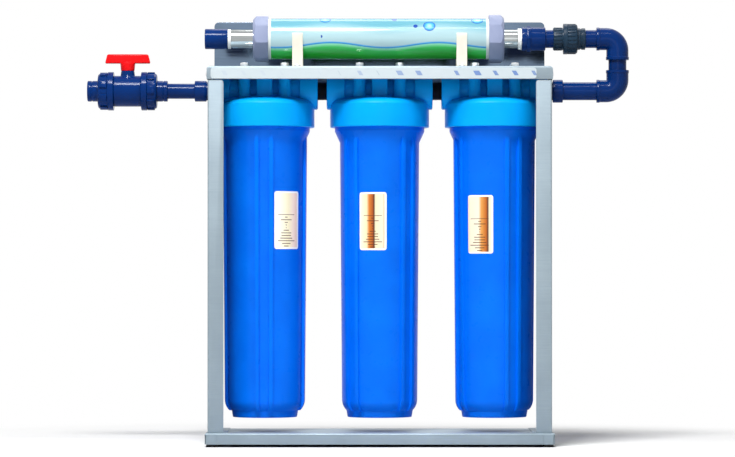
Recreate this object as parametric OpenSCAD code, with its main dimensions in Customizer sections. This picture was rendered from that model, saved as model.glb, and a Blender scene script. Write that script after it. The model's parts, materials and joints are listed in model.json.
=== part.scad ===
// Three-stage cartridge water filter on a sheet-metal stand.
// X runs along the row of housings, Y from front to back, Z up. The stand is free-standing,
// and the origin lies on the floor in the middle of the whole outline.

/* [Stand] */
// Gap between the outer caps and the outside of the stand
side_gap = 12; // [9.5:0.5:60]
// Gap between the caps and the front and rear of the stand
depth_gap = 7; // [4:0.5:30]
// How far the base tray stands out past the top plate on every side
base_overhang = 3; // [0:0.5:12]
// Height of the folded lips of the base tray
base_lip = 20; // [14:1:40]
// Width of the return flanges under the base tray
base_return = 24; // [20:1:40]
// Distance of the lip seams from the ends of the base tray
seam_inset = 20; // [10:1:40]
// Height of the folded lips of the top plate
lid_lip = 23; // [16:1:36]
// Thickness of the folded sheet metal
sheet = 1.5; // [1:0.1:2.5]
// Width of the front flange of each leg
leg_flange = 28; // [18:1:40]
// Width of the rear flange of each leg
leg_rear_flange = 18; // [12:1:30]
// Width of the foot flange of each leg
leg_foot = 32; // [18:1:40]
// Corner radius at the top of the front flange of each leg
leg_corner_r = 6; // [2:0.5:12]
// Outer radius of the folds at the ends of the top plate
end_fold_r = 6; // [3:0.5:10]
// Outer radius of the other folds
fold_r = 3; // [2.6:0.1:5]
// Height of the rubber feet
foot_h = 5; // [3:0.5:15]
// Diameter of the rubber feet
foot_d = 20; // [14:1:22]
// Height of the back panel above the top plate
panel_h = 89; // [60:1:140]
// Distance from the ends of the top plate to the back panel
panel_inset = 6; // [0:1:30]
// Depth of the flange under the back panel
panel_flange = 24; // [18:1:30]
// Radius of the top corners of the back panel
panel_corner_r = 8; // [2:1:20]
// Distance between the two screws at each end of a leg
leg_screw_span = 95; // [80:1:130]
// Diameter of the frame screws
screw_d = 5; // [4:0.5:6]

/* [Filter housings] */
// Length of a filter cartridge over its end caps
cartridge_len = 508; // [240:1:640]
// Outer diameter of a filter cartridge
cartridge_d = 112; // [90:1:114]
// Bore of a filter cartridge
cartridge_bore = 30; // [28:1:40]
// Thickness of the flat cartridge gaskets
gasket_t = 3; // [2:0.5:5]
// Gap between cartridge and sump wall
water_gap = 6; // [4:0.5:12]
// Wall thickness of the sump
sump_wall = 5; // [3:0.5:6]
// Growth of the sump's radius from its rounded bottom to its shoulder
sump_taper = 3.5; // [1:0.1:6]
// Growth of the sump's radius from its shoulder to its neck
neck_flare = 9.2; // [7:0.1:14]
// Wall thickness of the cap's skirt
cap_wall = 8; // [5:0.5:12]
// How far the ports stand out past the cap's skirt
port_reach = 6; // [3:0.5:6]
// Gap between the port faces of neighbouring caps
port_gap = 16; // [8:1:40]
// Outer diameter of the pipe thread in the ports
port_thread_d = 33; // [26:0.5:34]
// Depth of the thread in the ports
port_depth = 20; // [14:1:24]
// Outer diameter of the collar round each port
port_collar_d = 66; // [50:1:70]
// Length of the collar round each port
port_collar_len = 32; // [20:1:34]
// Height of the cap skirt
cap_skirt_h = 42; // [36:1:60]
// Rise of the cap's dome above its skirt
cap_dome_h = 15; // [8:1:18]
// Height of the port axis above the cap skirt
port_rise = 23; // [20:1:30]
// Height of the cap's top above the port axis
cap_head_h = 38.5; // [36:0.5:60]
// Length of sump neck that sits in the cap
neck_engage = 24; // [20:1:30]
// Distance from the sump's rim down to its neck's lower end
neck_drop = 31; // [28:1:40]
// Distance from the sump's rim down to its shoulder
shoulder_drop = 51; // [44:1:70]
// Height of the sump's rounded bottom
bowl_h = 31; // [28:1:40]
// Height of the ring on which the sump stands
sump_ring_h = 12; // [8:1:20]
// How far that ring is set in from the sump's side
ring_inset = 8; // [5:0.5:12]
// Clear height between base tray and sump
sump_gap = 25; // [24:1:60]
// Width of a sump rib
rib_w = 7; // [4:0.5:10]
// Height of a sump rib above the wall
rib_h = 4.7; // [2:0.1:6]
// Distance between the two ribs of a pair
rib_pair = 23; // [16:1:40]
// Distance between the bolts on top of a cap
bolt_square = 71.2; // [66:0.2:78]
// Diameter of the housing bolts
bolt_d = 8; // [6:1:10]

/* [Inlet valve] */
// Outer diameter of the inlet pipe
inlet_pipe_d = 27; // [20:0.5:28]
// Free length of the inlet pipe
inlet_pipe_len = 48; // [20:1:120]
// Wall thickness of the inlet sockets
inlet_socket_wall = 5; // [3.5:0.5:6]
// Wall thickness of the valve body round its ball chamber
valve_wall = 8.5; // [7:0.5:12]
// Free length of the valve body between its nuts
valve_len = 49; // [46:1:70]
// Wall thickness of the valve's union nuts between their lugs
valve_nut_wall = 4.5; // [3:0.5:9]
// Length of the valve's union nuts
valve_nut_len = 28; // [24:1:40]
// Free length of the socket tails
tail_len = 19; // [18:1:40]
// Diameter of the ball
ball_d = 36; // [34:0.5:37]
// Bore of the valve
valve_bore = 20; // [15:0.5:21]
// Diameter of the valve stem
stem_d = 12; // [10:0.5:13]
// Height of the valve neck above the valve body
neck_h = 8.5; // [6:0.5:20]
// Length of the T-handle
handle_len = 81; // [60:1:110]
// Height of the T-handle's wing
handle_h = 16.5; // [12:0.5:24]
// Thickness of the T-handle's wing at the hub
handle_t = 14; // [12:0.5:20]
// Diameter of the T-handle's hub
handle_hub_d = 26.5; // [24:0.5:32]
// Height of the T-handle's hub under the wing
handle_hub_h = 13; // [8:0.5:20]

/* [Outlet loop] */
// Outer diameter of the loop pipe
loop_pipe_d = 32; // [26:0.5:33]
// Wall thickness of the pipes
pipe_wall = 3; // [2:0.2:4]
// Least free length of pipe between adaptor and lower elbow
loop_pipe_len = 60; // [20:1:120]
// Least free length of pipe between union and upper elbow
elbow_stub_len = 20; // [4:1:80]
// Wall thickness of the loop sockets
loop_socket_wall = 3.75; // [3:0.25:6]
// Straight length of an elbow's sockets
elbow_leg_len = 17; // [12:0.5:20]
// Radius in the crook of an elbow
elbow_crook = 0.75; // [0.5:0.25:6]
// Wall thickness of the union nut under its ribs
union_nut_wall = 2.75; // [2:0.25:5]
// Length of the union nut
union_nut_len = 25; // [22:1:36]
// Free length of the union body
union_body_len = 18; // [16:1:30]
// Free length of the union tail
union_tail_len = 14; // [12:1:30]
// Free length of pipe between conditioner and union
union_stub_len = 14; // [6:1:60]

/* [Conditioner] */
// Height of the tube above the top plate
tube_lift = 16.5; // [14:0.5:60]
// Place of the tube's middle along the stand
tube_x = -2; // [-20:1:20]
// Outer diameter of the tube
tube_d = 73; // [66:0.5:76]
// Wall thickness of the tube
tube_wall = 3; // [2:0.5:5]
// Free length of the tube between its ring nuts
tube_len = 392; // [360:1:420]
// Wall thickness of the octagonal ring nuts at their flats
ring_nut_wall = 3.2; // [2:0.1:8]
// Length of the ring nuts
ring_nut_len = 27; // [24:1:36]
// Outer diameter of the flow pipe
flow_pipe_d = 33; // [30:0.5:34]
// Wall thickness of the flow pipe
flow_pipe_wall = 3; // [2:0.5:4]
// Free length of the flow pipe at the inlet end
flow_inlet_len = 25; // [10:1:40]
// Free length of the flow pipe at the outlet end
flow_outlet_len = 43; // [20:1:60]
// Wall thickness of the outlet socket
outlet_socket_wall = 4.5; // [3:0.5:6]
// Length of the outlet socket
outlet_socket_len = 41; // [36:1:60]
// Wall thickness of the conditioner's inlet socket
cond_inlet_wall = 5; // [3.5:0.5:7]
// Length of the conditioner's inlet socket
cond_inlet_len = 42; // [36:1:60]
// Width of the tube straps
strap_w = 18.7; // [12:0.1:30]
// Thickness of the tube straps
strap_t = 2; // [1.5:0.1:3]
// Distance of each strap from the housing bolts beside it
strap_inset = 22.9; // [18:0.1:60]

/* [Fits] */
// Gap between pieces that turn or slide on each other
turn_gap = 0.3; // [0.2:0.05:0.5]
// Radial gap between threaded or pushed-in pieces
joint_gap = 0.1; // [0.05:0.05:0.2]
// Radial gap of the valve stem in its neck
stem_gap = 0.08; // [0.02:0.01:0.1]

/* [Hidden] */
$fn = 96;
eps = 0.01;
steel = "#a9b7bf";
polished = "#8796a3";
blue = "#0a5cf0";
navy = "#0c1f4d";
grey = "#2c4258";
red = "#d81d24";
rubber = "#141416";
ivory = "#efe9dc";
bright = "#d5d9dc";

// Levels of the stand and the housings, from the floor up
base_top = foot_h + base_lip;
sump_z = base_top + sump_gap;
sump_recess = 4;
sump_floor = 5;
seat_h = 8;
floor_z = sump_z + sump_recess + sump_floor;
cartridge_z = floor_z + seat_h + gasket_t;
cartridge_top = cartridge_z + cartridge_len;
press_z = cartridge_top + gasket_t + turn_gap;
spigot_len = 7;
neck_top = press_z + spigot_len;
skirt_z = neck_top - neck_engage;
port_z = skirt_z + cap_skirt_h + port_rise;
lid_under = port_z + cap_head_h;
lid_top = lid_under + sheet;
lip_z = lid_top - lid_lip;
valve_z = port_z;
tube_z = lid_top + tube_lift + tube_d / 2;

// Housings
sump_turn = [0, 45, 26];
sump_r = cartridge_d / 2 + water_gap + sump_wall;
sump_top_r = sump_r + sump_taper;
neck_r = sump_top_r + neck_flare;
neck_inner_r = sump_top_r - sump_wall;
shoulder_z = neck_top - sump_z - shoulder_drop;
neck_low_z = neck_top - sump_z - neck_drop;
ring_r = sump_r - ring_inset;
ring_foot_w = 9;
ring_hollow_r = ring_r - ring_foot_w;
bowl_rise = bowl_h - sump_ring_h;
bowl_r = (pow(ring_inset, 2) + pow(bowl_rise, 2)) / (2 * ring_inset);
bowl_floor_inset = 6;
bowl_floor_r = ring_r - bowl_floor_inset;
rim_groove_r = (neck_r + neck_inner_r) / 2;
oring_d = 4;
oring_room = 0.8;
socket_top = neck_top + oring_room + turn_gap;
socket_r = neck_r + turn_gap;
cap_r = socket_r + cap_wall;
cap_edge = 2.5;
dome_ledge = 0.8;
dome_z = skirt_z + cap_skirt_h;
dome_foot_r = cap_r - cap_edge - dome_ledge;
dome_r = (pow(dome_foot_r, 2) + pow(cap_dome_h, 2)) / (2 * cap_dome_h);
seal_land = 5.5;
chamber_r = neck_inner_r - seal_land;
chamber_h = 8;
drop_x = -0.75 * chamber_r;
drop_r = 10;
passage_r = 12.5;
spigot_r = cartridge_bore / 2 - 2;
spigot_nose = 8;
spigot_flange = 9;
spigot_edge = 2;
port_span = 2 * (cap_r + port_reach);
pitch = port_span + port_gap;
bolt_boss_d = 20;
bolt_hole = bolt_d + 2 * joint_gap;
bolt_depth = 24;
fin_w = 28;
fin_d = 92;
core_d = 50;
washer_t = 1.6;
spring_t = 2;
washer_gap = 0.05;
bolt_head_h = 5.3;
end_cap_t = 12;
end_cap_lap = 6;
end_cap_wall = 2;

// Stand
frame_w = 2 * (pitch + cap_r + side_gap);
frame_d = 2 * (cap_r + depth_gap);
base_w = frame_w + 2 * base_overhang;
base_d = frame_d + 2 * base_overhang;
lap_gap = 0.2;
leg_x = frame_w / 2 - sheet - lap_gap;
leg_y = frame_d / 2 - sheet - lap_gap;
flange_top = lip_z - 1;
tongue_top = lid_under - end_fold_r;
foot_x = base_w / 2 - foot_d / 2 - sheet;
foot_y = base_d / 2 - base_return / 2 - sheet / 2;
foot_stem_d = 6;
foot_barb = 1.2;
foot_barb_h = 4;
panel_w = frame_w - 2 * panel_inset;
panel_y = frame_d / 2 - fold_r;
seam_w = 0.8;
corner_slot = 2.4;
head_h = 3.2;
head_d = 2 * screw_d;
nut_h = 4;
screw_tail = 3;
screw_hole = screw_d + 0.5;
port_hole = port_thread_d + 4;

// Inlet and outlet adaptors
thread_r = port_thread_d / 2 - joint_gap;
thread_in = port_depth - 2;
collar_x = frame_w / 2 + 4;
collar_floor = 3;
inlet_collar_len = 21;
outlet_collar_len = 18;
socket_depth = 22;
pipe_play = 0.5;
inlet_bore = inlet_pipe_d - 2 * pipe_wall;
inlet_socket_d = inlet_pipe_d + 2 * inlet_socket_wall;
outlet_collar_wall = 4.5;
outlet_collar_d = loop_pipe_d + 2 * outlet_collar_wall;

// Valve, measured from its middle
chamber_bore = ball_d / 2 + 1;
valve_d = 2 * (chamber_bore + valve_wall);
neck_rise = valve_d / 2 + neck_h;
valve_half = valve_len / 2 + valve_nut_len + tail_len;
valve_x = -(collar_x + inlet_collar_len + inlet_pipe_len + valve_half);
body_set_in = 8.5;
body_end = valve_len / 2 + valve_nut_len - body_set_in;
valve_thread_r = valve_d / 2 - 1;
nut_lip = 3;
nut_edge_r = 4;
rib_drop = 0.3;
valve_nut_band = 10;
valve_lugs = 8;
valve_lug_w = 13;
valve_lug_h = 3;
valve_nut_d = 2 * (valve_thread_r + turn_gap + valve_nut_wall + valve_lug_h);
tail_flange_t = 4.4;
face_groove_r = (chamber_bore + valve_thread_r) / 2;
face_ring_d = 3;
seat_x = ball_d / 2 - 1;
seat_t = 6;
seat_angle = 43;
tang_deep = 4.8;
stem_low = ball_d / 2 - tang_deep;
stem_flange_z = chamber_bore;
stem_flange_t = 3.8;
stem_flange_r = 8;
stem_square = 8.4;
stem_square_h = handle_hub_h + 3;
tang_w = 5;
ball_room = 0.3;
stem_ring_z = neck_rise - 7;
stem_ring_d = 2;

// Conditioner
tube_ends = [tube_x - tube_len / 2, tube_x + tube_len / 2];
ring_nut_af = tube_d + 2 * (turn_gap + ring_nut_wall);
ring_lip = 6.5;
ring_tilt = 12;
plug_room = 6;
shell_in = ring_nut_len - ring_lip - plug_room;
plug_t = plug_room - turn_gap;
plug_in = 12;
plug_nose_wall = 3.5;
plug_nose_d = flow_pipe_d + 2 * plug_nose_wall;
pipe_ends = [tube_ends[0] - ring_nut_len - flow_outlet_len, tube_ends[1] + ring_nut_len + flow_inlet_len];
flow_bore = flow_pipe_d - 2 * flow_pipe_wall;
screw_in = 15;
screw_bore = flow_bore - 8;
outlet_seal_t = 2;
inlet_seal_t = 7;
outlet_x = pipe_ends[0] - outlet_seal_t;
inlet_x = pipe_ends[1] + inlet_seal_t;
outlet_socket_d = inlet_pipe_d + 2 * outlet_socket_wall;
cond_inlet_d = loop_pipe_d + 2 * cond_inlet_wall;
cond_hex_x = 9;
cond_hex_len = 7;
magnet_count = 9;
magnet_len = 30;
magnet_gap = 8;
magnet_room = 4.5;
magnet_d = tube_d - 2 * (tube_wall + magnet_room);
strap_x = [for (s = [-1, 1]) s * (pitch - bolt_square / 2 - strap_inset)];
strap_foot = 18;
saddle_w = 60;
saddle_h = 14;
tube_seat_r = tube_d / 2 + turn_gap;

// Union on the upper run, from the conditioner to the elbow
loop_socket_d = loop_pipe_d + 2 * loop_socket_wall;
passage_loop_r = loop_pipe_d / 2 - pipe_wall;
union_hub_d = loop_socket_d - 1;
union_thread_step = 3.25;
union_thread_r = loop_socket_d / 2 + union_thread_step;
union_nut_band = 7;
union_ribs = 24;
union_rib_w = 4;
union_rib_h = 1.2;
body_ribs = 20;
body_rib_w = 3;
body_rib_h = 0.8;
union_nut_d = 2 * (union_thread_r + turn_gap + union_nut_wall + union_rib_h);
union_ring_r = (passage_loop_r + union_thread_r) / 2;
union_x = inlet_x + cond_inlet_len + union_stub_len;
union_nut_x = union_x + union_body_len;
union_face = union_nut_len - nut_lip - tail_flange_t - 2 * turn_gap;
union_tail_x = union_nut_x + union_nut_len;
union_tail_end = union_tail_x + union_tail_len;
union_tail_in = union_tail_len + 4;

// Outlet loop: the longer of its two runs sets the place of the elbows
elbow_bend = loop_socket_d / 2 + elbow_crook;
elbow_reach = elbow_bend + elbow_leg_len;
elbow_socket = elbow_leg_len + 1;
elbow_bead = 0.8;
elbow_bead_len = 5;
lower_run = collar_x + outlet_collar_len + loop_pipe_len;
upper_run = union_tail_end + elbow_stub_len;
elbow_x = max(lower_run, upper_run) + elbow_reach;

// Places of the screws and bolts
leg_screw_y = leg_screw_span / 2;
leg_screw_x = leg_x - sheet - leg_foot / 2;
leg_base_places = [for (sx = [-1, 1], sy = [-1, 1]) [sx * leg_screw_x, sy * leg_screw_y, base_top]];
lap_z = lid_top - lid_lip / 2;
panel_screw_y = panel_y - panel_flange / 2;
panel_places = [for (k = [-1.5:1:1.5]) [k * panel_w / 4, panel_screw_y, lid_top]];
strap_screw_y = tube_seat_r + strap_t + strap_foot / 2;
strap_places = [for (x = strap_x, s = [-1, 1]) [x, s * strap_screw_y, lid_top]];
housing_bolt_places = [
    for (i = [1:3], sx = [-1, 1], sy = [-1, 1])
        [housing_x(i) + sx * bolt_square / 2, sy * bolt_square / 2, lid_top]
];

// The whole outline is centred on the origin
outline_left = valve_x - valve_half;
outline_right = elbow_x + loop_socket_d / 2 + elbow_bead;
shift_x = -(outline_left + outline_right) / 2;

function housing_x(i) = (i - 2) * pitch;

function arc(c, r, a0, a1, n = 6) =
    [for (k = [0:n]) [c[0] + r * cos(a0 + (a1 - a0) * k / n), c[1] + r * sin(a0 + (a1 - a0) * k / n)]];

module placed(at = [0, 0, 0]) {
    translate([shift_x, 0, 0] + at) children();
}

// Turns a shape drawn along Z so that it runs along +X
module along_x() {
    rotate([0, 90, 0]) children();
}

// Cylinder along X from x0 to x1
module bar(d, x0, x1) {
    translate([min(x0, x1), 0, 0]) along_x() cylinder(d = d, h = abs(x1 - x0));
}

module pipe(d, bore, x0, x1) {
    difference() {
        bar(d, x0, x1);
        bar(bore, min(x0, x1) - 1, max(x0, x1) + 1);
    }
}

module ring(mean_r, d) {
    rotate_extrude() translate([mean_r, 0]) circle(d = d);
}

// Flat shape of width w and height h with its two upper corners rounded
module arch(w, h, r) {
    translate([-w / 2, 0]) square([w, h - r]);
    translate([r - w / 2, 0]) square([w - 2 * r, h]);
    for (s = [-1, 1]) translate([s * (w / 2 - r), h - r]) circle(r);
}

// Block whose upper edges are rounded like folded sheet
module folded_block(w, d, h, end_r, side_r) {
    intersection() {
        translate([0, d / 2, 0]) rotate([90, 0, 0]) linear_extrude(d) arch(w, h, end_r);
        translate([-w / 2, 0, 0]) rotate([90, 0, 90]) linear_extrude(w) arch(d, h, side_r);
    }
}

module pan(w, d, h, end_r, side_r) {
    difference() {
        folded_block(w, d, h, end_r, side_r);
        translate([0, 0, -sheet])
            folded_block(w - 2 * sheet, d - 2 * sheet, h, end_r - sheet, side_r - sheet);
    }
}

module screw_holes(places) {
    for (p = places) translate(p) cylinder(d = screw_hole, h = 6 * sheet, center = true);
}

module base_tray() color(steel) placed([0, 0, foot_h]) difference() {
    union() {
        pan(base_w, base_d, base_lip, fold_r, fold_r);
        for (s = [-1, 1])
            translate([-base_w / 2 + fold_r, s * (base_d - base_return) / 2 - base_return / 2, 0])
                cube([base_w - 2 * fold_r, base_return, sheet]);
    }
    translate([0, 0, -foot_h]) screw_holes(leg_base_places);
    for (sx = [-1, 1], sy = [-1, 1]) {
        translate([sx * foot_x, sy * foot_y, -1]) cylinder(d = foot_stem_d + 2 * joint_gap, h = sheet + 2);
        translate([sx * (base_w / 2 - seam_inset) - seam_w / 2, sy * base_d / 2 - sheet / 2, -1])
            cube([seam_w, sheet, base_lip - fold_r + 1]);
        translate([sx * base_w / 2 - corner_slot, sy * base_d / 2 - corner_slot, -1])
            cube([2 * corner_slot, 2 * corner_slot, base_lip - fold_r + 1]);
    }
}

// Channel leg on the right: web outside, flanges front and rear, foot flange and lid tongue
module leg() {
    difference() {
        union() {
            translate([0, 0, base_top]) linear_extrude(flange_top - base_top) leg_section();
            translate([leg_x - sheet, -leg_y + fold_r + 2, base_top])
                cube([sheet, 2 * (leg_y - fold_r - 2), tongue_top - base_top]);
            translate([leg_x - sheet - leg_foot, -leg_y + 2 * sheet, base_top])
                cube([leg_foot + eps, 2 * (leg_y - 2 * sheet), sheet]);
        }
        translate([leg_x, 0, port_z]) bar(port_hole, -2 * sheet, sheet);
        screw_holes(leg_base_places);
        for (s = [-1, 1]) translate([leg_x, s * leg_screw_y, lap_z]) bar(screw_hole, -2 * sheet, sheet);
        for (s = [-1, 1]) translate([leg_x - (s < 0 ? leg_flange : leg_rear_flange), s * leg_y, flange_top])
            leg_corner();
    }
}

module leg_section() {
    difference() {
        translate([leg_x - leg_flange, 0]) rotate(-90) arch(2 * leg_y, leg_flange, fold_r);
        translate([leg_x - leg_flange - sheet, 0]) rotate(-90)
            arch(2 * (leg_y - sheet), leg_flange, fold_r - sheet);
        translate([leg_x - leg_flange - 1, 0]) square([leg_flange - leg_rear_flange + 1, leg_y + 1]);
    }
}

// Cutter that rounds the inner upper corner of a flange
module leg_corner() {
    translate([0, -fold_r, -leg_corner_r]) difference() {
        translate([-1, 0, 0]) cube([leg_corner_r + 1, 2 * fold_r, leg_corner_r + 1]);
        translate([leg_corner_r, -1, 0]) rotate([-90, 0, 0])
            cylinder(r = leg_corner_r, h = 2 * fold_r + 2);
    }
}

module left_leg() color(steel) placed() mirror([1, 0, 0]) leg();
module right_leg() color(steel) placed() leg();

module top_plate() color(steel) placed() difference() {
    translate([0, 0, lip_z]) pan(frame_w, frame_d, lid_lip, end_fold_r, fold_r);
    for (p = housing_bolt_places) translate(p) cylinder(d = bolt_d + 1, h = 6 * sheet, center = true);
    screw_holes(panel_places);
    screw_holes(strap_places);
    for (s = [-1, 1]) {
        inside = s * (frame_w / 2 - 2 * sheet);
        outside = s * (frame_w / 2 + 1);
        translate([0, 0, port_z]) bar(port_hole, inside, outside);
        for (sy = [-1, 1]) translate([0, sy * leg_screw_y, lap_z]) bar(screw_hole, inside, outside);
    }
}

module back_panel() color(polished) placed() difference() {
    union() {
        translate([0, panel_y, lid_top]) rotate([90, 0, 0]) linear_extrude(sheet)
            arch(panel_w, panel_h, panel_corner_r);
        translate([-panel_w / 2, panel_y - panel_flange, lid_top]) cube([panel_w, panel_flange, sheet]);
    }
    screw_holes(panel_places);
}

module rubber_feet() color(rubber) placed() for (sx = [-1, 1], sy = [-1, 1])
    translate([sx * foot_x, sy * foot_y, 0]) rotate_extrude() polygon([
        [0, 0], [foot_d / 2 - 1, 0], [foot_d / 2, 1], [foot_d / 2 - 1, foot_h],
        [foot_stem_d / 2, foot_h], [foot_stem_d / 2, foot_h + sheet],
        [foot_stem_d / 2 + foot_barb, foot_h + sheet],
        [foot_stem_d / 2 - foot_barb / 2, foot_h + sheet + foot_barb_h], [0, foot_h + sheet + foot_barb_h]
    ]);

// Pan-head screw with its nut: head above z = 0, nut under the clamped sheets
module screw_and_nut(grip) {
    rotate_extrude() polygon(concat(
        [[0, -grip - nut_h - screw_tail], [screw_d / 2, -grip - nut_h - screw_tail], [screw_d / 2, 0]],
        [[head_d / 2, 0], [head_d / 2, head_h * 0.4]],
        arc([head_d / 2 - head_h * 0.6, head_h * 0.4], head_h * 0.6, 0, 90),
        [[0, head_h]]
    ));
    translate([0, 0, -grip - nut_h]) difference() {
        cylinder(d = 1.85 * screw_d, h = nut_h, $fn = 6);
        translate([0, 0, -1]) cylinder(d = screw_d + 2 * joint_gap, h = nut_h + 2);
    }
}

module frame_fasteners() color(bright) placed() {
    for (p = leg_base_places) translate(p + [0, 0, sheet]) screw_and_nut(2 * sheet);
    for (p = panel_places) translate(p + [0, 0, sheet]) screw_and_nut(2 * sheet);
    for (p = strap_places) translate(p + [0, 0, strap_t]) screw_and_nut(strap_t + sheet);
    for (s = [-1, 1], sy = [-1, 1]) translate([s * frame_w / 2, sy * leg_screw_y, lap_z])
        rotate([0, s * 90, 0]) screw_and_nut(2 * sheet + lap_gap);
}

// Half outline of a cap: skirt with round edges under a spherical dome
module cap_outline() {
    translate([0, skirt_z]) square([cap_r - cap_edge, cap_skirt_h]);
    translate([0, skirt_z + cap_edge]) square([cap_r, cap_skirt_h - 2 * cap_edge]);
    for (z = [skirt_z + cap_edge, dome_z - cap_edge]) translate([cap_r - cap_edge, z]) circle(cap_edge);
    intersection() {
        translate([0, dome_z]) square([cap_r, cap_dome_h]);
        translate([0, dome_z + cap_dome_h - dome_r]) circle(dome_r);
    }
}

module cap(i) color(blue) placed([housing_x(i), 0, 0]) difference() {
    union() {
        rotate_extrude() cap_outline();
        translate([-fin_w / 2, -fin_d / 2, dome_z]) cube([fin_w, fin_d, lid_under - dome_z]);
        for (sx = [-1, 1], sy = [-1, 1]) translate([sx * bolt_square / 2, sy * bolt_square / 2, dome_z])
            cylinder(d = bolt_boss_d, h = lid_under - dome_z);
        translate([0, 0, port_z]) {
            bar(core_d, -port_span / 2 + 1, port_span / 2 - 1);
            for (s = [-1, 1]) mirror([s < 0 ? 1 : 0, 0, 0]) port_collar();
        }
    }
    rotate_extrude() polygon([
        [0, skirt_z - 1], [socket_r, skirt_z - 1], [socket_r, socket_top], [chamber_r, socket_top],
        [chamber_r, socket_top + chamber_h], [spigot_r + spigot_flange, socket_top + chamber_h],
        [spigot_r + spigot_flange, press_z], [spigot_r, press_z], [spigot_r, press_z - spigot_nose],
        [0, press_z - spigot_nose]
    ]);
    translate([0, 0, port_z]) {
        for (s = [-1, 1]) bar(port_thread_d, s * (port_span / 2 - port_depth), s * (port_span / 2 + 1));
        bar(2 * passage_r, -port_span / 2, drop_x + drop_r);
        bar(2 * passage_r, 0, port_span / 2);
    }
    translate([drop_x, 0, socket_top]) cylinder(r = drop_r, h = port_z - socket_top);
    translate([0, 0, press_z - spigot_nose - 1]) cylinder(r = drop_r, h = port_z - press_z + spigot_nose + 1);
    for (sx = [-1, 1], sy = [-1, 1])
        translate([sx * bolt_square / 2, sy * bolt_square / 2, lid_under - bolt_depth])
            cylinder(d = bolt_hole, h = bolt_depth + 1);
}

module port_collar() {
    along_x() rotate_extrude() polygon([
        [0, port_span / 2 - port_collar_len], [port_collar_d / 2, port_span / 2 - port_collar_len],
        [port_collar_d / 2, port_span / 2 - 2], [port_collar_d / 2 - 2, port_span / 2], [0, port_span / 2]
    ]);
}

// Outline of the sump wall, or of its ribs when proud is the rib height
module sump_outline(proud) {
    top = proud > 0 ? neck_low_z + proud : neck_top - sump_z;
    polygon([
        [0, bowl_h], [sump_r + proud, bowl_h], [sump_top_r + proud, shoulder_z],
        [proud > 0 ? sump_top_r + proud : neck_r, neck_low_z], [proud > 0 ? sump_top_r + proud : neck_r, top],
        [0, top]
    ]);
    intersection() {
        translate([sump_r - bowl_r, bowl_h]) circle(bowl_r + proud);
        translate([0, sump_ring_h - proud]) square([sump_r + proud, bowl_rise + proud]);
    }
    square([sump_r - bowl_r, bowl_h]);
    polygon([[0, 0], [ring_r - 3, 0], [ring_r - 1.5, 1.5], [ring_r, sump_ring_h], [0, sump_ring_h]]);
}

module sump(i) color(blue) placed([housing_x(i), 0, sump_z]) rotate(sump_turn[i - 1]) difference() {
    top = neck_top - sump_z;
    floor_h = sump_recess + sump_floor;
    reach = neck_r + rib_h;
    union() {
        rotate_extrude() sump_outline(0);
        intersection() {
            rotate_extrude() sump_outline(rib_h);
            for (a = [0:90:270], s = [-1, 1]) rotate(a)
                translate([s * rib_pair / 2 - rib_w / 2, -reach, 0]) cube([rib_w, reach, top]);
        }
    }
    seat = floor_h + seat_h;
    rotate_extrude() polygon([
        [spigot_r + spigot_flange, floor_h], [bowl_floor_r, floor_h], [sump_r - sump_wall, bowl_h],
        [neck_inner_r, shoulder_z], [neck_inner_r, top + 1], [0, top + 1], [0, seat + spigot_nose],
        [spigot_r - spigot_edge, seat + spigot_nose], [spigot_r, seat + spigot_nose - spigot_edge],
        [spigot_r, seat], [spigot_r + spigot_flange, seat]
    ]);
    translate([0, 0, -1]) cylinder(r = ring_hollow_r, h = sump_recess + 1);
    translate([0, 0, top]) rotate_extrude()
        translate([rim_groove_r - oring_d / 2 - turn_gap, oring_room - oring_d - turn_gap])
            square([oring_d + 2 * turn_gap, oring_d]);
}

module sump_oring(i) color(rubber)
    placed([housing_x(i), 0, neck_top + oring_room - oring_d / 2]) ring(rim_groove_r, oring_d);

module cartridge(i) color(ivory) placed([housing_x(i), 0, cartridge_z + end_cap_t]) difference() {
    h = cartridge_len - 2 * end_cap_t;
    cylinder(d = cartridge_d - 2 * end_cap_wall, h = h);
    translate([0, 0, -1]) cylinder(d = cartridge_bore, h = h + 2);
}

module cartridge_ends(i) color("#e8ecef") placed([housing_x(i), 0, cartridge_z])
    for (top = [0, 1]) translate([0, 0, top * cartridge_len]) mirror([0, 0, top]) rotate_extrude() polygon([
        [cartridge_bore / 2, 0], [cartridge_d / 2 - end_cap_wall, 0], [cartridge_d / 2, end_cap_wall],
        [cartridge_d / 2, end_cap_t + end_cap_lap],
        [cartridge_d / 2 - end_cap_wall + joint_gap, end_cap_t + end_cap_lap],
        [cartridge_d / 2 - end_cap_wall + joint_gap, end_cap_t], [cartridge_bore / 2, end_cap_t]
    ]);

module cartridge_gaskets(i) color(rubber) placed([housing_x(i), 0, 0])
    for (z = [floor_z + seat_h, cartridge_top]) translate([0, 0, z]) difference() {
        cylinder(r = spigot_r + spigot_flange, h = gasket_t);
        translate([0, 0, -1]) cylinder(d = cartridge_bore, h = gasket_t + 2);
    }

module housing_bolts() color(bright) placed() for (p = housing_bolt_places)
    translate(p + [0, 0, washer_t + spring_t]) {
        intersection() {
            cylinder(d = 1.88 * bolt_d, h = bolt_head_h, $fn = 6);
            cylinder(d1 = 2.6 * bolt_d, d2 = 1.6 * bolt_d, h = bolt_head_h);
        }
        translate([0, 0, -bolt_depth]) cylinder(d = bolt_d, h = bolt_depth + eps);
    }

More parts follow.
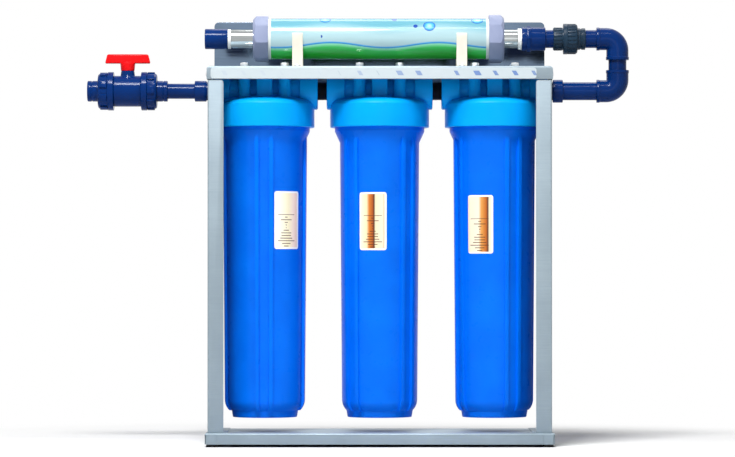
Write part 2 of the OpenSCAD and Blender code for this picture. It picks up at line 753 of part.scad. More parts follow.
module bolt_washers() color(bright) placed() for (p = housing_bolt_places) translate(p) {
    difference() {
        cylinder(d = 2 * bolt_d, h = washer_t);
        translate([0, 0, -1]) cylinder(d = bolt_hole, h = washer_t + 2);
    }
    translate([0, 0, washer_t + washer_gap]) difference() {
        cylinder(d = 1.65 * bolt_d, h = spring_t - washer_gap);
        translate([0, 0, -1]) cylinder(d = bolt_hole, h = spring_t + 2);
        translate([0, -0.5, -1]) rotate([20, 0, 0]) cube([bolt_d, 1, 3 * spring_t]);
    }
}

module port_nipples() color(rubber) placed([0, 0, port_z]) for (s = [-1, 1])
    translate([s * pitch / 2, 0, 0])
        pipe(2 * thread_r, 2 * passage_r, -port_gap / 2 - thread_in, port_gap / 2 + thread_in);

// Adaptor on the outside of a leg: male thread into the port, socket for a pipe outside.
// Drawn for the right-hand side.
module adaptor(collar_d, collar_len, pipe_d, bore) {
    difference() {
        union() {
            bar(2 * thread_r, port_span / 2 + pitch - thread_in, collar_x + eps);
            along_x() rotate_extrude() polygon([
                [0, collar_x], [collar_d / 2 - 1, collar_x], [collar_d / 2, collar_x + 1],
                [collar_d / 2, collar_x + collar_len - 1], [collar_d / 2 - 1, collar_x + collar_len],
                [0, collar_x + collar_len]
            ]);
        }
        bar(bore, pitch, collar_x + collar_len + 1);
        bar(pipe_d + 2 * joint_gap, collar_x + collar_floor, collar_x + collar_len + 1);
    }
}

module inlet_adaptor() color(navy) placed([0, 0, port_z]) mirror([1, 0, 0])
    adaptor(inlet_socket_d, inlet_collar_len, inlet_pipe_d, valve_bore);

module outlet_adaptor() color(navy) placed([0, 0, port_z])
    adaptor(outlet_collar_d, outlet_collar_len, loop_pipe_d, 2 * drop_r);

module inlet_pipe() color(navy) placed([0, 0, port_z])
    pipe(inlet_pipe_d, inlet_bore, -collar_x - collar_floor, valve_x + valve_half - socket_depth + pipe_play);

// Ring of grip ribs along X whose tops lie on diameter d
module grip_ribs(d, x0, len, count, w, h) {
    intersection() {
        bar(d, x0, x0 + len);
        for (k = [0:count - 1]) rotate([k * 360 / count, 0, 0])
            translate([x0 - 1, -w / 2, d / 2 - 2 * h]) cube([len + 2, w, 3 * h]);
    }
}

// Union nut drawn from x = 0: threaded end with a plain band first, lip at the far end
module coupling_nut(d, len, band, thread_r, hub_r, count, rib_w, rib_h) {
    body_r = d / 2 - rib_h;
    edge = len - nut_edge_r;
    difference() {
        union() {
            along_x() rotate_extrude() polygon(concat(
                [[0, 0], [d / 2 - 1, 0], [d / 2, 1], [d / 2, band], [body_r, band + rib_h]],
                arc([body_r - nut_edge_r, edge], nut_edge_r, 0, 90),
                [[0, len]]
            ));
            grip_ribs(d - 2 * rib_drop, band / 2, edge - 1 - band / 2, count, rib_w, rib_h);
        }
        bar(2 * (thread_r + turn_gap), -1, len - nut_lip);
        bar(2 * hub_r, 0, len + 1);
    }
}

module valve_nut() {
    hub_r = inlet_socket_d / 2 + 2 * turn_gap;
    translate([valve_len / 2, 0, 0])
        coupling_nut(valve_nut_d, valve_nut_len, valve_nut_band, valve_thread_r, hub_r,
            valve_lugs, valve_lug_w, valve_lug_h);
}

module valve_nut_right() color(navy) placed([valve_x, 0, valve_z]) valve_nut();
module valve_nut_left() color(navy) placed([valve_x, 0, valve_z]) mirror([1, 0, 0]) valve_nut();

// Socket tail behind a union nut: flange inside the nut, hub and pipe socket outside
module socket_tail(flange_x, flange_r, hub_d, end_x, pipe_d, bore) {
    difference() {
        union() {
            bar(2 * flange_r, flange_x, flange_x + tail_flange_t);
            along_x() rotate_extrude() polygon([
                [0, flange_x], [hub_d / 2, flange_x], [hub_d / 2, end_x - 1], [hub_d / 2 - 1, end_x],
                [0, end_x]
            ]);
        }
        bar(bore, flange_x - 1, end_x + 1);
        bar(pipe_d + 2 * joint_gap, end_x - socket_depth, end_x + 1);
    }
}

module valve_tails() color(navy) placed([valve_x, 0, valve_z]) for (s = [0, 1]) mirror([s, 0, 0]) {
    flange_r = valve_thread_r - turn_gap;
    socket_tail(body_end + turn_gap, flange_r, inlet_socket_d, valve_half, inlet_pipe_d, valve_bore);
}

module valve_body() color(navy) placed([valve_x, 0, valve_z]) difference() {
    half = valve_len / 2;
    union() {
        along_x() rotate_extrude() polygon([
            [0, -body_end], [valve_thread_r, -body_end], [valve_thread_r, -half], [valve_d / 2, 1 - half],
            [valve_d / 2, half - 1], [valve_thread_r, half], [valve_thread_r, body_end], [0, body_end]
        ]);
        cylinder(d1 = handle_hub_d + 12, d2 = handle_hub_d - 3, h = neck_rise - 4);
        cylinder(d = handle_hub_d - 3, h = neck_rise);
    }
    bar(valve_bore, -body_end - 1, body_end + 1);
    bar(2 * chamber_bore, -body_end - 1, seat_x);
    cylinder(d = stem_d + 2 * stem_gap, h = neck_rise + 1);
    cylinder(r = stem_flange_r + turn_gap, h = stem_flange_z + stem_flange_t + turn_gap);
    for (s = [-1, 1]) translate([s * body_end, 0, 0]) along_x() rotate_extrude()
        translate([face_groove_r - face_ring_d / 2 - joint_gap, -face_ring_d + turn_gap])
            square([face_ring_d + 2 * joint_gap, 2 * face_ring_d - 2 * turn_gap]);
}

module valve_seat_carrier() color(navy) placed([valve_x, 0, valve_z])
    pipe(2 * (chamber_bore - joint_gap), valve_bore, -body_end + turn_gap, -seat_x);

// Seat rings whose conical faces lie along the ball
module valve_seats() color(ivory) placed([valve_x, 0, valve_z]) for (s = [0, 1]) mirror([s, 0, 0]) {
    reach = ball_d / 2 + ball_room;
    outer = chamber_bore - joint_gap;
    inner = valve_bore / 2;
    near = seat_x - seat_t;
    along_x() rotate_extrude() polygon([
        [inner, seat_x], [inner, (reach - inner * sin(seat_angle)) / cos(seat_angle)],
        [(reach - near * cos(seat_angle)) / sin(seat_angle), near], [outer, near], [outer, seat_x]
    ]);
}

module valve_ball() color(bright) placed([valve_x, 0, valve_z]) difference() {
    sphere(d = ball_d);
    bar(valve_bore, -ball_d, ball_d);
    translate([-ball_d, -tang_w / 2 - joint_gap, stem_low - joint_gap])
        cube([2 * ball_d, tang_w + 2 * joint_gap, ball_d]);
}

module valve_stem() color(bright) placed([valve_x, 0, valve_z]) difference() {
    union() {
        translate([-stem_d / 2, -tang_w / 2, stem_low])
            cube([stem_d, tang_w, stem_flange_z - stem_low + eps]);
        translate([0, 0, stem_flange_z]) cylinder(r = stem_flange_r, h = stem_flange_t);
        translate([0, 0, stem_flange_z]) cylinder(d = stem_d, h = neck_rise - stem_flange_z);
        translate([-stem_square / 2, -stem_square / 2, neck_rise - eps])
            cube([stem_square, stem_square, stem_square_h]);
    }
    translate([0, 0, stem_ring_z - stem_ring_d / 2 - joint_gap]) rotate_extrude()
        translate([stem_d / 2 - stem_ring_d + stem_gap, 0])
            square([stem_ring_d, stem_ring_d + 2 * joint_gap]);
}

module valve_stem_oring() color(rubber) placed([valve_x, 0, valve_z + stem_ring_z])
    ring(stem_d / 2 - stem_ring_d / 2 + joint_gap / 2, stem_ring_d - 2 * joint_gap);

module valve_handle() color(red) placed([valve_x, 0, valve_z]) difference() {
    hub_z = neck_rise + turn_gap;
    wing_z = hub_z + handle_hub_h;
    top_z = wing_z + handle_h;
    half = handle_len / 2;
    lean = 4;
    r = 2.5;
    wing = concat(
        arc([half - r, wing_z + r], r, -90, 10), arc([half - lean - r, top_z - r], r, 10, 90),
        arc([r + lean - half, top_z - r], r, 90, 170), arc([r - half, wing_z + r], r, 170, 270)
    );
    plan = concat(
        arc([half - handle_t / 4, 0], handle_t / 3, -60, 60), arc([0, 0], handle_t / 2, 70, 110),
        arc([handle_t / 4 - half, 0], handle_t / 3, 120, 240), arc([0, 0], handle_t / 2, 250, 290)
    );
    union() {
        intersection() {
            translate([0, handle_t, 0]) rotate([90, 0, 0]) linear_extrude(2 * handle_t) polygon(wing);
            translate([0, 0, wing_z - 1]) linear_extrude(handle_h + 2) polygon(plan);
        }
        translate([0, 0, hub_z]) cylinder(d1 = handle_hub_d - 1, d2 = handle_hub_d, h = handle_hub_h);
        translate([0, 0, wing_z]) cylinder(d1 = handle_hub_d, d2 = handle_t + 2, h = 5);
    }
    translate([-stem_square / 2 - joint_gap, -stem_square / 2 - joint_gap, hub_z - 1])
        cube([stem_square + 2 * joint_gap, stem_square + 2 * joint_gap, stem_square_h + 2]);
}

// Face seals of the valve and of the union
module union_orings() color(rubber) placed() {
    ring_x = body_end - face_ring_d / 2 + turn_gap;
    for (s = [-1, 1]) translate([valve_x + s * ring_x, 0, valve_z]) along_x()
        ring(face_groove_r, face_ring_d - 2 * joint_gap);
    translate([union_nut_x + union_face + turn_gap - face_ring_d / 2, 0, tube_z]) along_x()
        ring(union_ring_r, face_ring_d - 2 * joint_gap);
}

// Pipes of the loop, from the right-hand port to the conditioner
module loop_pipes() color(navy) placed() {
    bore = 2 * passage_loop_r;
    in_elbow = elbow_socket - pipe_play;
    translate([0, 0, port_z])
        pipe(loop_pipe_d, bore, collar_x + collar_floor, elbow_x - elbow_reach + in_elbow);
    translate([elbow_x, 0, 0]) rotate([0, -90, 0])
        pipe(loop_pipe_d, bore, port_z + elbow_reach - in_elbow, tube_z - elbow_reach + in_elbow);
    translate([0, 0, tube_z]) {
        pipe(loop_pipe_d, bore, inlet_x + cond_inlet_len - socket_depth + pipe_play, union_nut_x - pipe_play);
        pipe(loop_pipe_d, bore, union_tail_end - union_tail_in + pipe_play, elbow_x - elbow_reach + in_elbow);
    }
}

// Elbow with its corner at the origin, one socket along -X and the other along +Z
module elbow() {
    difference() {
        union() {
            elbow_bent(loop_socket_d / 2);
            elbow_leg(loop_socket_d / 2, elbow_bend - eps, elbow_reach);
            elbow_leg(loop_socket_d / 2 + elbow_bead, elbow_reach - elbow_bead_len, elbow_reach);
        }
        elbow_bent(passage_loop_r);
        elbow_leg(passage_loop_r, elbow_bend - eps, elbow_reach);
        elbow_leg(loop_pipe_d / 2 + joint_gap, elbow_reach - elbow_socket, elbow_reach + 1);
    }
}

module elbow_bent(r) {
    translate([-elbow_bend, 0, elbow_bend]) rotate([90, 0, 0]) rotate([0, 0, -90])
        rotate_extrude(angle = 90) translate([elbow_bend, 0]) circle(r);
}

module elbow_leg(r, from, to) {
    bar(2 * r, -to, -from);
    translate([0, 0, from]) cylinder(r = r, h = to - from);
}

module lower_elbow() color(navy) placed([elbow_x, 0, port_z]) elbow();
module upper_elbow() color(navy) placed([elbow_x, 0, tube_z]) mirror([0, 0, 1]) elbow();

module union_body() color(grey) placed([union_x, 0, tube_z]) difference() {
    end = union_body_len + union_face;
    union() {
        bar(loop_socket_d, 0, union_body_len + eps);
        bar(2 * union_thread_r, union_body_len, end);
        grip_ribs(loop_socket_d + 2 * body_rib_h, 1, union_body_len - 4, body_ribs, body_rib_w, body_rib_h);
    }
    bar(2 * passage_loop_r, -1, end + 1);
    bar(loop_pipe_d + 2 * joint_gap, -1, union_body_len);
    translate([end, 0, 0]) along_x() rotate_extrude()
        translate([union_ring_r - face_ring_d / 2 - joint_gap, -face_ring_d + turn_gap])
            square([face_ring_d + 2 * joint_gap, 2 * face_ring_d - 2 * turn_gap]);
}

module union_nut() color(grey) placed([union_nut_x, 0, tube_z]) {
    hub_r = union_hub_d / 2 + 2 * turn_gap;
    coupling_nut(union_nut_d, union_nut_len, union_nut_band, union_thread_r, hub_r,
        union_ribs, union_rib_w, union_rib_h);
}

module union_tail() color(grey) placed([0, 0, tube_z]) difference() {
    flange_x = union_nut_x + union_face + turn_gap;
    union() {
        bar(2 * (union_thread_r - turn_gap), flange_x, flange_x + tail_flange_t);
        bar(union_hub_d, flange_x, union_tail_end);
    }
    bar(2 * passage_loop_r, flange_x - 1, union_tail_end + 1);
    bar(loop_pipe_d + 2 * joint_gap, union_tail_end - union_tail_in, union_tail_end + 1);
}

// Adaptors screwed into the two ends of the flow pipe
module conditioner_inlet() color(navy) placed([0, 0, tube_z]) difference() {
    end = inlet_x + cond_inlet_len;
    union() {
        bar(flow_bore - 2 * joint_gap, pipe_ends[1] - screw_in, inlet_x + eps);
        bar(cond_inlet_d, inlet_x, end);
        translate([inlet_x + cond_hex_x, 0, 0]) along_x()
            cylinder(d = 1.12 * cond_inlet_d, h = cond_hex_len, $fn = 8);
    }
    bar(screw_bore, pipe_ends[1] - screw_in - 1, end + 1);
    bar(loop_pipe_d + 2 * joint_gap, end - socket_depth, end + 1);
}

module conditioner_outlet() color(navy) placed([0, 0, tube_z]) difference() {
    end = outlet_x - outlet_socket_len;
    union() {
        bar(flow_bore - 2 * joint_gap, outlet_x - eps, pipe_ends[0] + screw_in);
        along_x() rotate_extrude() polygon([
            [0, end], [outlet_socket_d / 2 - 1, end], [outlet_socket_d / 2, end + 1],
            [outlet_socket_d / 2, outlet_x], [0, outlet_x]
        ]);
    }
    bar(screw_bore, end - 1, pipe_ends[0] + screw_in + 1);
    bar(inlet_pipe_d + 2 * joint_gap, end - 1, end + socket_depth);
}

module thread_seals() color("white") placed([0, 0, tube_z]) {
    pipe(flow_pipe_d + 2, flow_bore, outlet_x, pipe_ends[0]);
    pipe(flow_pipe_d + 5, flow_bore, pipe_ends[1], inlet_x);
}

module conditioner_shell() color("#d9f2ef") placed([0, 0, tube_z])
    pipe(tube_d, tube_d - 2 * tube_wall, tube_ends[0] - shell_in, tube_ends[1] + shell_in);

// Octagonal ring nut drawn from x = 0 outwards, lip at the far end
module ring_nut() {
    corner_r = ring_nut_af / 2 / cos(22.5);
    difference() {
        intersection() {
            along_x() rotate(ring_tilt) cylinder(r = corner_r, h = ring_nut_len, $fn = 8);
            along_x() rotate_extrude() polygon([
                [0, 0], [corner_r - 1, 0], [corner_r + 1, 2], [corner_r + 1, ring_nut_len - 7],
                [corner_r - 6, ring_nut_len], [0, ring_nut_len]
            ]);
        }
        bar(tube_d + 2 * turn_gap, -1, ring_nut_len - ring_lip);
        bar(plug_nose_d + 2 * turn_gap, 0, ring_nut_len + 1);
    }
}

module ring_nut_left() color(polished) placed([tube_ends[0], 0, tube_z]) mirror([1, 0, 0]) ring_nut();
module ring_nut_right() color(polished) placed([tube_ends[1], 0, tube_z]) ring_nut();

module end_plugs() color(grey) placed([0, 0, tube_z]) for (s = [0, 1])
    translate([tube_ends[s], 0, 0]) mirror([1 - s, 0, 0]) difference() {
        union() {
            bar(tube_d - 2 * turn_gap, shell_in, shell_in + plug_t);
            bar(tube_d - 2 * tube_wall - 2 * joint_gap, shell_in - plug_in, shell_in + eps);
            bar(plug_nose_d, shell_in + plug_t - eps, ring_nut_len);
        }
        bar(flow_pipe_d + 2 * joint_gap, shell_in - plug_in - 1, ring_nut_len + 1);
    }

module flow_pipe() color(bright) placed([0, 0, tube_z])
    pipe(flow_pipe_d, flow_bore, pipe_ends[0], pipe_ends[1]);

module magnet_rings() color("#4a4d52") placed([tube_x, 0, tube_z]) for (k = [0:magnet_count - 1])
    translate([(k - (magnet_count - 1) / 2) * (magnet_len + magnet_gap), 0, 0])
        pipe(magnet_d, flow_pipe_d + 2 * joint_gap, -magnet_len / 2, magnet_len / 2);

module strap_outline() {
    outer = tube_seat_r + strap_t;
    rise = tube_z - lid_top;
    difference() {
        union() {
            translate([0, rise]) circle(outer);
            translate([-outer, 0]) square([2 * outer, rise]);
            translate([-outer - strap_foot, 0]) square([2 * (outer + strap_foot), strap_t]);
        }
        translate([0, rise]) circle(tube_seat_r);
        translate([-tube_seat_r, -1]) square([2 * tube_seat_r, rise + 1]);
    }
}

module tube_straps() color(ivory) placed() difference() {
    for (x = strap_x) translate([x - strap_w / 2, 0, lid_top]) rotate([90, 0, 90])
        linear_extrude(strap_w) strap_outline();
    screw_holes(strap_places);
}

module strap_bases() color(ivory) placed() for (x = strap_x)
    translate([x - strap_w / 2, 0, lid_top]) rotate([90, 0, 90]) linear_extrude(strap_w) difference() {
        translate([-saddle_w / 2, 0]) square([saddle_w, tube_z - lid_top - tube_d / 2 + saddle_h]);
        translate([0, tube_z - lid_top]) circle(tube_seat_r);
    }

base_tray();
left_leg();
right_leg();
top_plate();
back_panel();
rubber_feet();
frame_fasteners();
cap(1);  // cap_1
cap(2);  // cap_2
cap(3);  // cap_3
sump(1);  // sump_1
sump(2);  // sump_2
sump(3);  // sump_3
sump_oring(1);  // sump_oring_1
sump_oring(2);  // sump_oring_2
sump_oring(3);  // sump_oring_3
cartridge(1);  // cartridge_1
cartridge(2);  // cartridge_2
cartridge(3);  // cartridge_3
cartridge_ends(1);  // cartridge_ends_1
cartridge_ends(2);  // cartridge_ends_2
cartridge_ends(3);  // cartridge_ends_3
cartridge_gaskets(1);  // cartridge_gaskets_1
cartridge_gaskets(2);  // cartridge_gaskets_2
cartridge_gaskets(3);  // cartridge_gaskets_3
housing_bolts();
bolt_washers();
port_nipples();
inlet_adaptor();
inlet_pipe();
valve_body();
valve_seat_carrier();
valve_seats();
valve_ball();
valve_stem();
valve_stem_oring();
valve_handle();
valve_nut_left();
valve_nut_right();
valve_tails();
union_orings();
outlet_adaptor();
loop_pipes();
lower_elbow();
upper_elbow();
union_body();
union_nut();
union_tail();
conditioner_inlet();
conditioner_shell();
ring_nut_left();
ring_nut_right();
end_plugs();
flow_pipe();
magnet_rings();
conditioner_outlet();
thread_seals();
tube_straps();
strap_bases();
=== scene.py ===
import json
import math

import bpy
from mathutils import Matrix, Vector


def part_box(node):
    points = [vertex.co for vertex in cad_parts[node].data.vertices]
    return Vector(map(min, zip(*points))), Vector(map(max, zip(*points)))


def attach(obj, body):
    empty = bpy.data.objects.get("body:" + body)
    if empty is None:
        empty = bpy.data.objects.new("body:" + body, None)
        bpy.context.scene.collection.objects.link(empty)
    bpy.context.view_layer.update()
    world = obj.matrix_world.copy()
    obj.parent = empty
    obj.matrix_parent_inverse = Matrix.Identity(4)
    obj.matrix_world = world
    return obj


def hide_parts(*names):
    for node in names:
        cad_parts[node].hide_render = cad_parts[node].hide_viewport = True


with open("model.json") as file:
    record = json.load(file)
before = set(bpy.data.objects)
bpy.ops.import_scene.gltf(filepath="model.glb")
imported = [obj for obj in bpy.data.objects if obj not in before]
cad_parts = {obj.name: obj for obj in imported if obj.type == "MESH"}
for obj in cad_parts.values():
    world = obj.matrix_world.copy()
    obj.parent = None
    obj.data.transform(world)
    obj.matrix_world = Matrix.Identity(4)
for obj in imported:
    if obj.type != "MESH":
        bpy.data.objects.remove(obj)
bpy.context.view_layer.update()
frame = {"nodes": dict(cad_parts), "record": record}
nodes = frame["nodes"]
mm = 0.001


def linear(hexColour):
    parts = [int(hexColour[k:k + 2], 16) / 255 for k in (1, 3, 5)]
    return tuple(c / 12.92 if c <= 0.04045 else ((c + 0.055) / 1.055) ** 2.4 for c in parts) + (1.0,)


def shades(*stops):      # ramp stops from places and hex colours
    return [(place, linear(colour)) for place, colour in stops]


def greys(*stops):      # ramp stops from places and plain values
    return [(place, (value, value, value, 1)) for place, value in stops]


def perMillimetre(size):
    return 1 / (size * mm)      # texture scale that gives a feature of this size


def newMaterial(name, **settings):
    material = bpy.data.materials.new(name)
    material.use_nodes = True
    shader = material.node_tree.nodes["Principled BSDF"]
    for key, value in settings.items():
        shader.inputs[key.replace("_", " ")].default_value = value
    return material, material.node_tree, shader


def addNode(tree, kind, settings=None, links=None, feeds=None):
    node = tree.nodes.new("ShaderNode" + kind)
    for key, value in (settings or {}).items():
        if key == "stops":
            points = node.color_ramp.elements
            while len(points) < len(value):
                points.new(0.5)
            for point, (place, colour) in zip(points, value):
                point.position = place
                point.color = colour
        elif isinstance(key, int) or key in node.inputs:
            node.inputs[key].default_value = value
        else:
            setattr(node, key, value)
    for key, source in (links or {}).items():      # a node stands for its first output
        socket = source.outputs[0] if isinstance(source, bpy.types.Node) else source
        tree.links.new(socket, node.inputs[key])
    if feeds:
        tree.links.new(node.outputs[0], feeds)
    return node


# Injection-moulded plastic: even colour with faint flow clouds, a fine skin and a soft gloss
def mouldedPlastic(name, colour, cloud, gloss=0.3, level=0.3, skin=1.2, flow=70, handling=14):
    material, tree, shader = newMaterial(name, IOR=1.49, Specular_IOR_Level=level)
    where = addNode(tree, "TexCoord").outputs["Object"]
    clouds = addNode(tree, "TexNoise", {"Scale": perMillimetre(flow), "Detail": 2}, {"Vector": where})
    addNode(tree, "ValToRGB", {"stops": shades((0.35, colour), (0.7, cloud))}, {"Fac": clouds},
            shader.inputs["Base Color"])
    handled = addNode(tree, "TexNoise", {"Scale": perMillimetre(handling), "Detail": 5}, {"Vector": where})
    addNode(tree, "ValToRGB", {"stops": greys((0.3, gloss - 0.04), (0.75, gloss + 0.07))}, {"Fac": handled},
            shader.inputs["Roughness"])
    fine = addNode(tree, "TexNoise", {"Scale": perMillimetre(skin), "Detail": 3}, {"Vector": where})
    addNode(tree, "Bump", {"Strength": 0.12, "Distance": 0.05 * mm}, {"Height": fine},
            shader.inputs["Normal"])
    return material


# Rolled, brushed or turned steel: fine lines along one axis and dull handling clouds
def lineSteel(name, colour, worn, rough, lines=(1, 60, 60), metallic=1.0, length=60, clouds=90):
    material, tree, shader = newMaterial(name, Metallic=metallic)
    where = addNode(tree, "TexCoord").outputs["Object"]
    drawn = addNode(tree, "Mapping", {"Scale": lines}, {"Vector": where})
    line = addNode(tree, "TexNoise", {"Scale": perMillimetre(length), "Detail": 6, "Roughness": 0.65},
                   {"Vector": drawn})
    cloud = addNode(tree, "TexNoise", {"Scale": perMillimetre(clouds), "Detail": 3}, {"Vector": where})
    tone = addNode(tree, "Math", {"operation": "MULTIPLY"}, {0: line, 1: cloud})
    addNode(tree, "ValToRGB", {"stops": shades((0.12, worn), (0.4, colour))}, {"Fac": tone},
            shader.inputs["Base Color"])
    addNode(tree, "ValToRGB", {"stops": greys((0.3, rough - 0.05), (0.7, rough + 0.07))}, {"Fac": line},
            shader.inputs["Roughness"])
    addNode(tree, "Bump", {"Strength": 0.06, "Distance": 0.04 * mm}, {"Height": line},
            shader.inputs["Normal"])
    return material


# Rubber and fired ferrite: near black, dull, with a chalky bloom
def dullBlack(name, colour, bloom, bloomSize=9, gritSize=1):
    material, tree, shader = newMaterial(name, IOR=1.52, Specular_IOR_Level=0.3)
    where = addNode(tree, "TexCoord").outputs["Object"]
    cloud = addNode(tree, "TexNoise", {"Scale": perMillimetre(bloomSize), "Detail": 5}, {"Vector": where})
    addNode(tree, "ValToRGB", {"stops": shades((0.4, colour), (0.8, bloom))}, {"Fac": cloud},
            shader.inputs["Base Color"])
    grit = addNode(tree, "TexNoise", {"Scale": perMillimetre(gritSize), "Detail": 3}, {"Vector": where})
    addNode(tree, "ValToRGB", {"stops": greys((0.3, 0.55), (0.7, 0.75))}, {"Fac": grit},
            shader.inputs["Roughness"])
    addNode(tree, "Bump", {"Strength": 0.2, "Distance": 0.08 * mm}, {"Height": grit},
            shader.inputs["Normal"])
    return material


# Melt-blown filter fibre: off-white with a wound, fuzzy surface
def spunFibre(name, fuzzSize=2.5, winding=(1, 1, 3)):
    material, tree, shader = newMaterial(name, Specular_IOR_Level=0.15, Roughness=0.9)
    where = addNode(tree, "TexCoord").outputs["Object"]
    wound = addNode(tree, "Mapping", {"Scale": winding}, {"Vector": where})
    fuzz = addNode(tree, "TexNoise", {"Scale": perMillimetre(fuzzSize), "Detail": 6, "Roughness": 0.7},
                   {"Vector": wound})
    addNode(tree, "ValToRGB", {"stops": shades((0.3, "#d9d6c8"), (0.7, "#f4f2e8"))}, {"Fac": fuzz},
            shader.inputs["Base Color"])
    addNode(tree, "Bump", {"Strength": 0.6, "Distance": 0.5 * mm}, {"Height": fuzz},
            shader.inputs["Normal"])
    return material


# Printed sleeve: pale aqua, a waving green foot with a blue rim, loose bubbles and bare pale ends
sleeve = {"axisZ": 0.7223, "girth": 0.0365, "waveLen": 0.19, "waveRise": 0.13, "span": 1.6, "bubble": 38,
          "bubbleR": 0.29, "bubblesLeftOut": 0.3, "bubblesFrom": 0.42, "bareEnd": 5 * mm}
sleeveLeft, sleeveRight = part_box("ring_nut_left")[1].x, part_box("ring_nut_right")[0].x


def printedSleeve(name):
    material, tree, shader = newMaterial(name, Roughness=0.16, IOR=1.5, Specular_IOR_Level=0.35)
    where = addNode(tree, "TexCoord").outputs["Object"]
    place = addNode(tree, "SeparateXYZ", links={0: where}).outputs
    above = addNode(tree, "Math", {"operation": "SUBTRACT", 1: sleeve["axisZ"]}, {0: place["Z"]})
    front = addNode(tree, "Math", {"operation": "MULTIPLY", 1: -1.0}, {0: place["Y"]})
    turn = addNode(tree, "Math", {"operation": "ARCTAN2"}, {0: above, 1: front})
    around = addNode(tree, "Math", {"operation": "MULTIPLY", 1: sleeve["girth"]}, {0: turn})
    flat = addNode(tree, "CombineXYZ", links={"X": place["X"], "Y": around})
    along = addNode(tree, "Math", {"operation": "MULTIPLY", 1: 2 * math.pi / sleeve["waveLen"]},
                    {0: place["X"]})
    swell = addNode(tree, "Math", {"operation": "SINE"}, {0: along})
    wave = addNode(tree, "Math", {"operation": "MULTIPLY_ADD", 1: sleeve["waveRise"]}, {0: swell, 2: turn})
    level = addNode(tree, "MapRange", {"From Min": -sleeve["span"], "From Max": sleeve["span"]},
                    {"Value": wave})
    ground = addNode(tree, "ValToRGB", {"stops": shades(
        (0.0, "#0b7a16"), (0.2, "#12a324"), (0.32, "#35c45a"), (0.37, "#8fe0b8"), (0.38, "#1f6fc4"),
        (0.395, "#3fa6e0"), (0.41, "#a6c5cb"), (0.58, "#a3c3ca"), (0.74, "#65a3b4"), (1.0, "#4f95a7"))},
        {"Fac": level})
    bubble = addNode(tree, "TexVoronoi", {"Scale": perMillimetre(sleeve["bubble"]), "Randomness": 0.75},
                     {"Vector": flat})
    skin = addNode(tree, "ValToRGB", {"stops": shades(
        (0.0, "#c4e8f4"), (0.16, "#58b4e4"), (0.26, "#1d78c8"), (0.275, "#123f9c"))}, {"Fac": bubble})
    inside = addNode(tree, "Math", {"operation": "LESS_THAN", 1: sleeve["bubbleR"]}, {0: bubble})
    chance = addNode(tree, "SeparateColor", links={0: bubble.outputs["Color"]})
    picked = addNode(tree, "Math", {"operation": "GREATER_THAN", 1: sleeve["bubblesLeftOut"]}, {0: chance})
    high = addNode(tree, "Math", {"operation": "GREATER_THAN", 1: sleeve["bubblesFrom"]}, {0: level})
    shown = addNode(tree, "Math", {"operation": "MULTIPLY"}, {0: inside, 1: picked})
    clear = addNode(tree, "Math", {"operation": "MULTIPLY"}, {0: shown, 1: high})
    mix = addNode(tree, "Mix", {"data_type": "RGBA"}, {0: clear, 6: ground, 7: skin})
    off = addNode(tree, "Math", {"operation": "SUBTRACT", 1: (sleeveLeft + sleeveRight) / 2}, {0: place["X"]})
    apart = addNode(tree, "Math", {"operation": "ABSOLUTE"}, {0: off})
    printedHalf = (sleeveRight - sleeveLeft) / 2 - sleeve["bareEnd"]
    bare = addNode(tree, "Math", {"operation": "GREATER_THAN", 1: printedHalf}, {0: apart})
    ended = addNode(tree, "Mix", {"data_type": "RGBA", 7: linear("#d6dcd8")}, {0: bare, 6: mix.outputs[2]})
    tree.links.new(ended.outputs[2], shader.inputs["Base Color"])
    return material


def printPlace(tree, centreX, centreZ, unitX, unitZ):      # place on a print, in units from its centre
    where = addNode(tree, "TexCoord").outputs["Object"]
    local = addNode(tree, "Mapping", {"Location": (-centreX / unitX, 0, -centreZ / unitZ),
                                      "Scale": (1 / unitX, 1, 1 / unitZ)}, {"Vector": where})
    return addNode(tree, "SeparateXYZ", links={0: local}).outputs


# Foil sticker: white rim, cream face and short brown rules; the upright bands across its width are the foil's
# tint with a painted reflection in them
stickerPrint = {"rimX": 0.87, "rimZ": 0.94, "rows": 11.0, "rule": 0.28, "ruleLen": 0.75, "rulesBelow": 0.2}


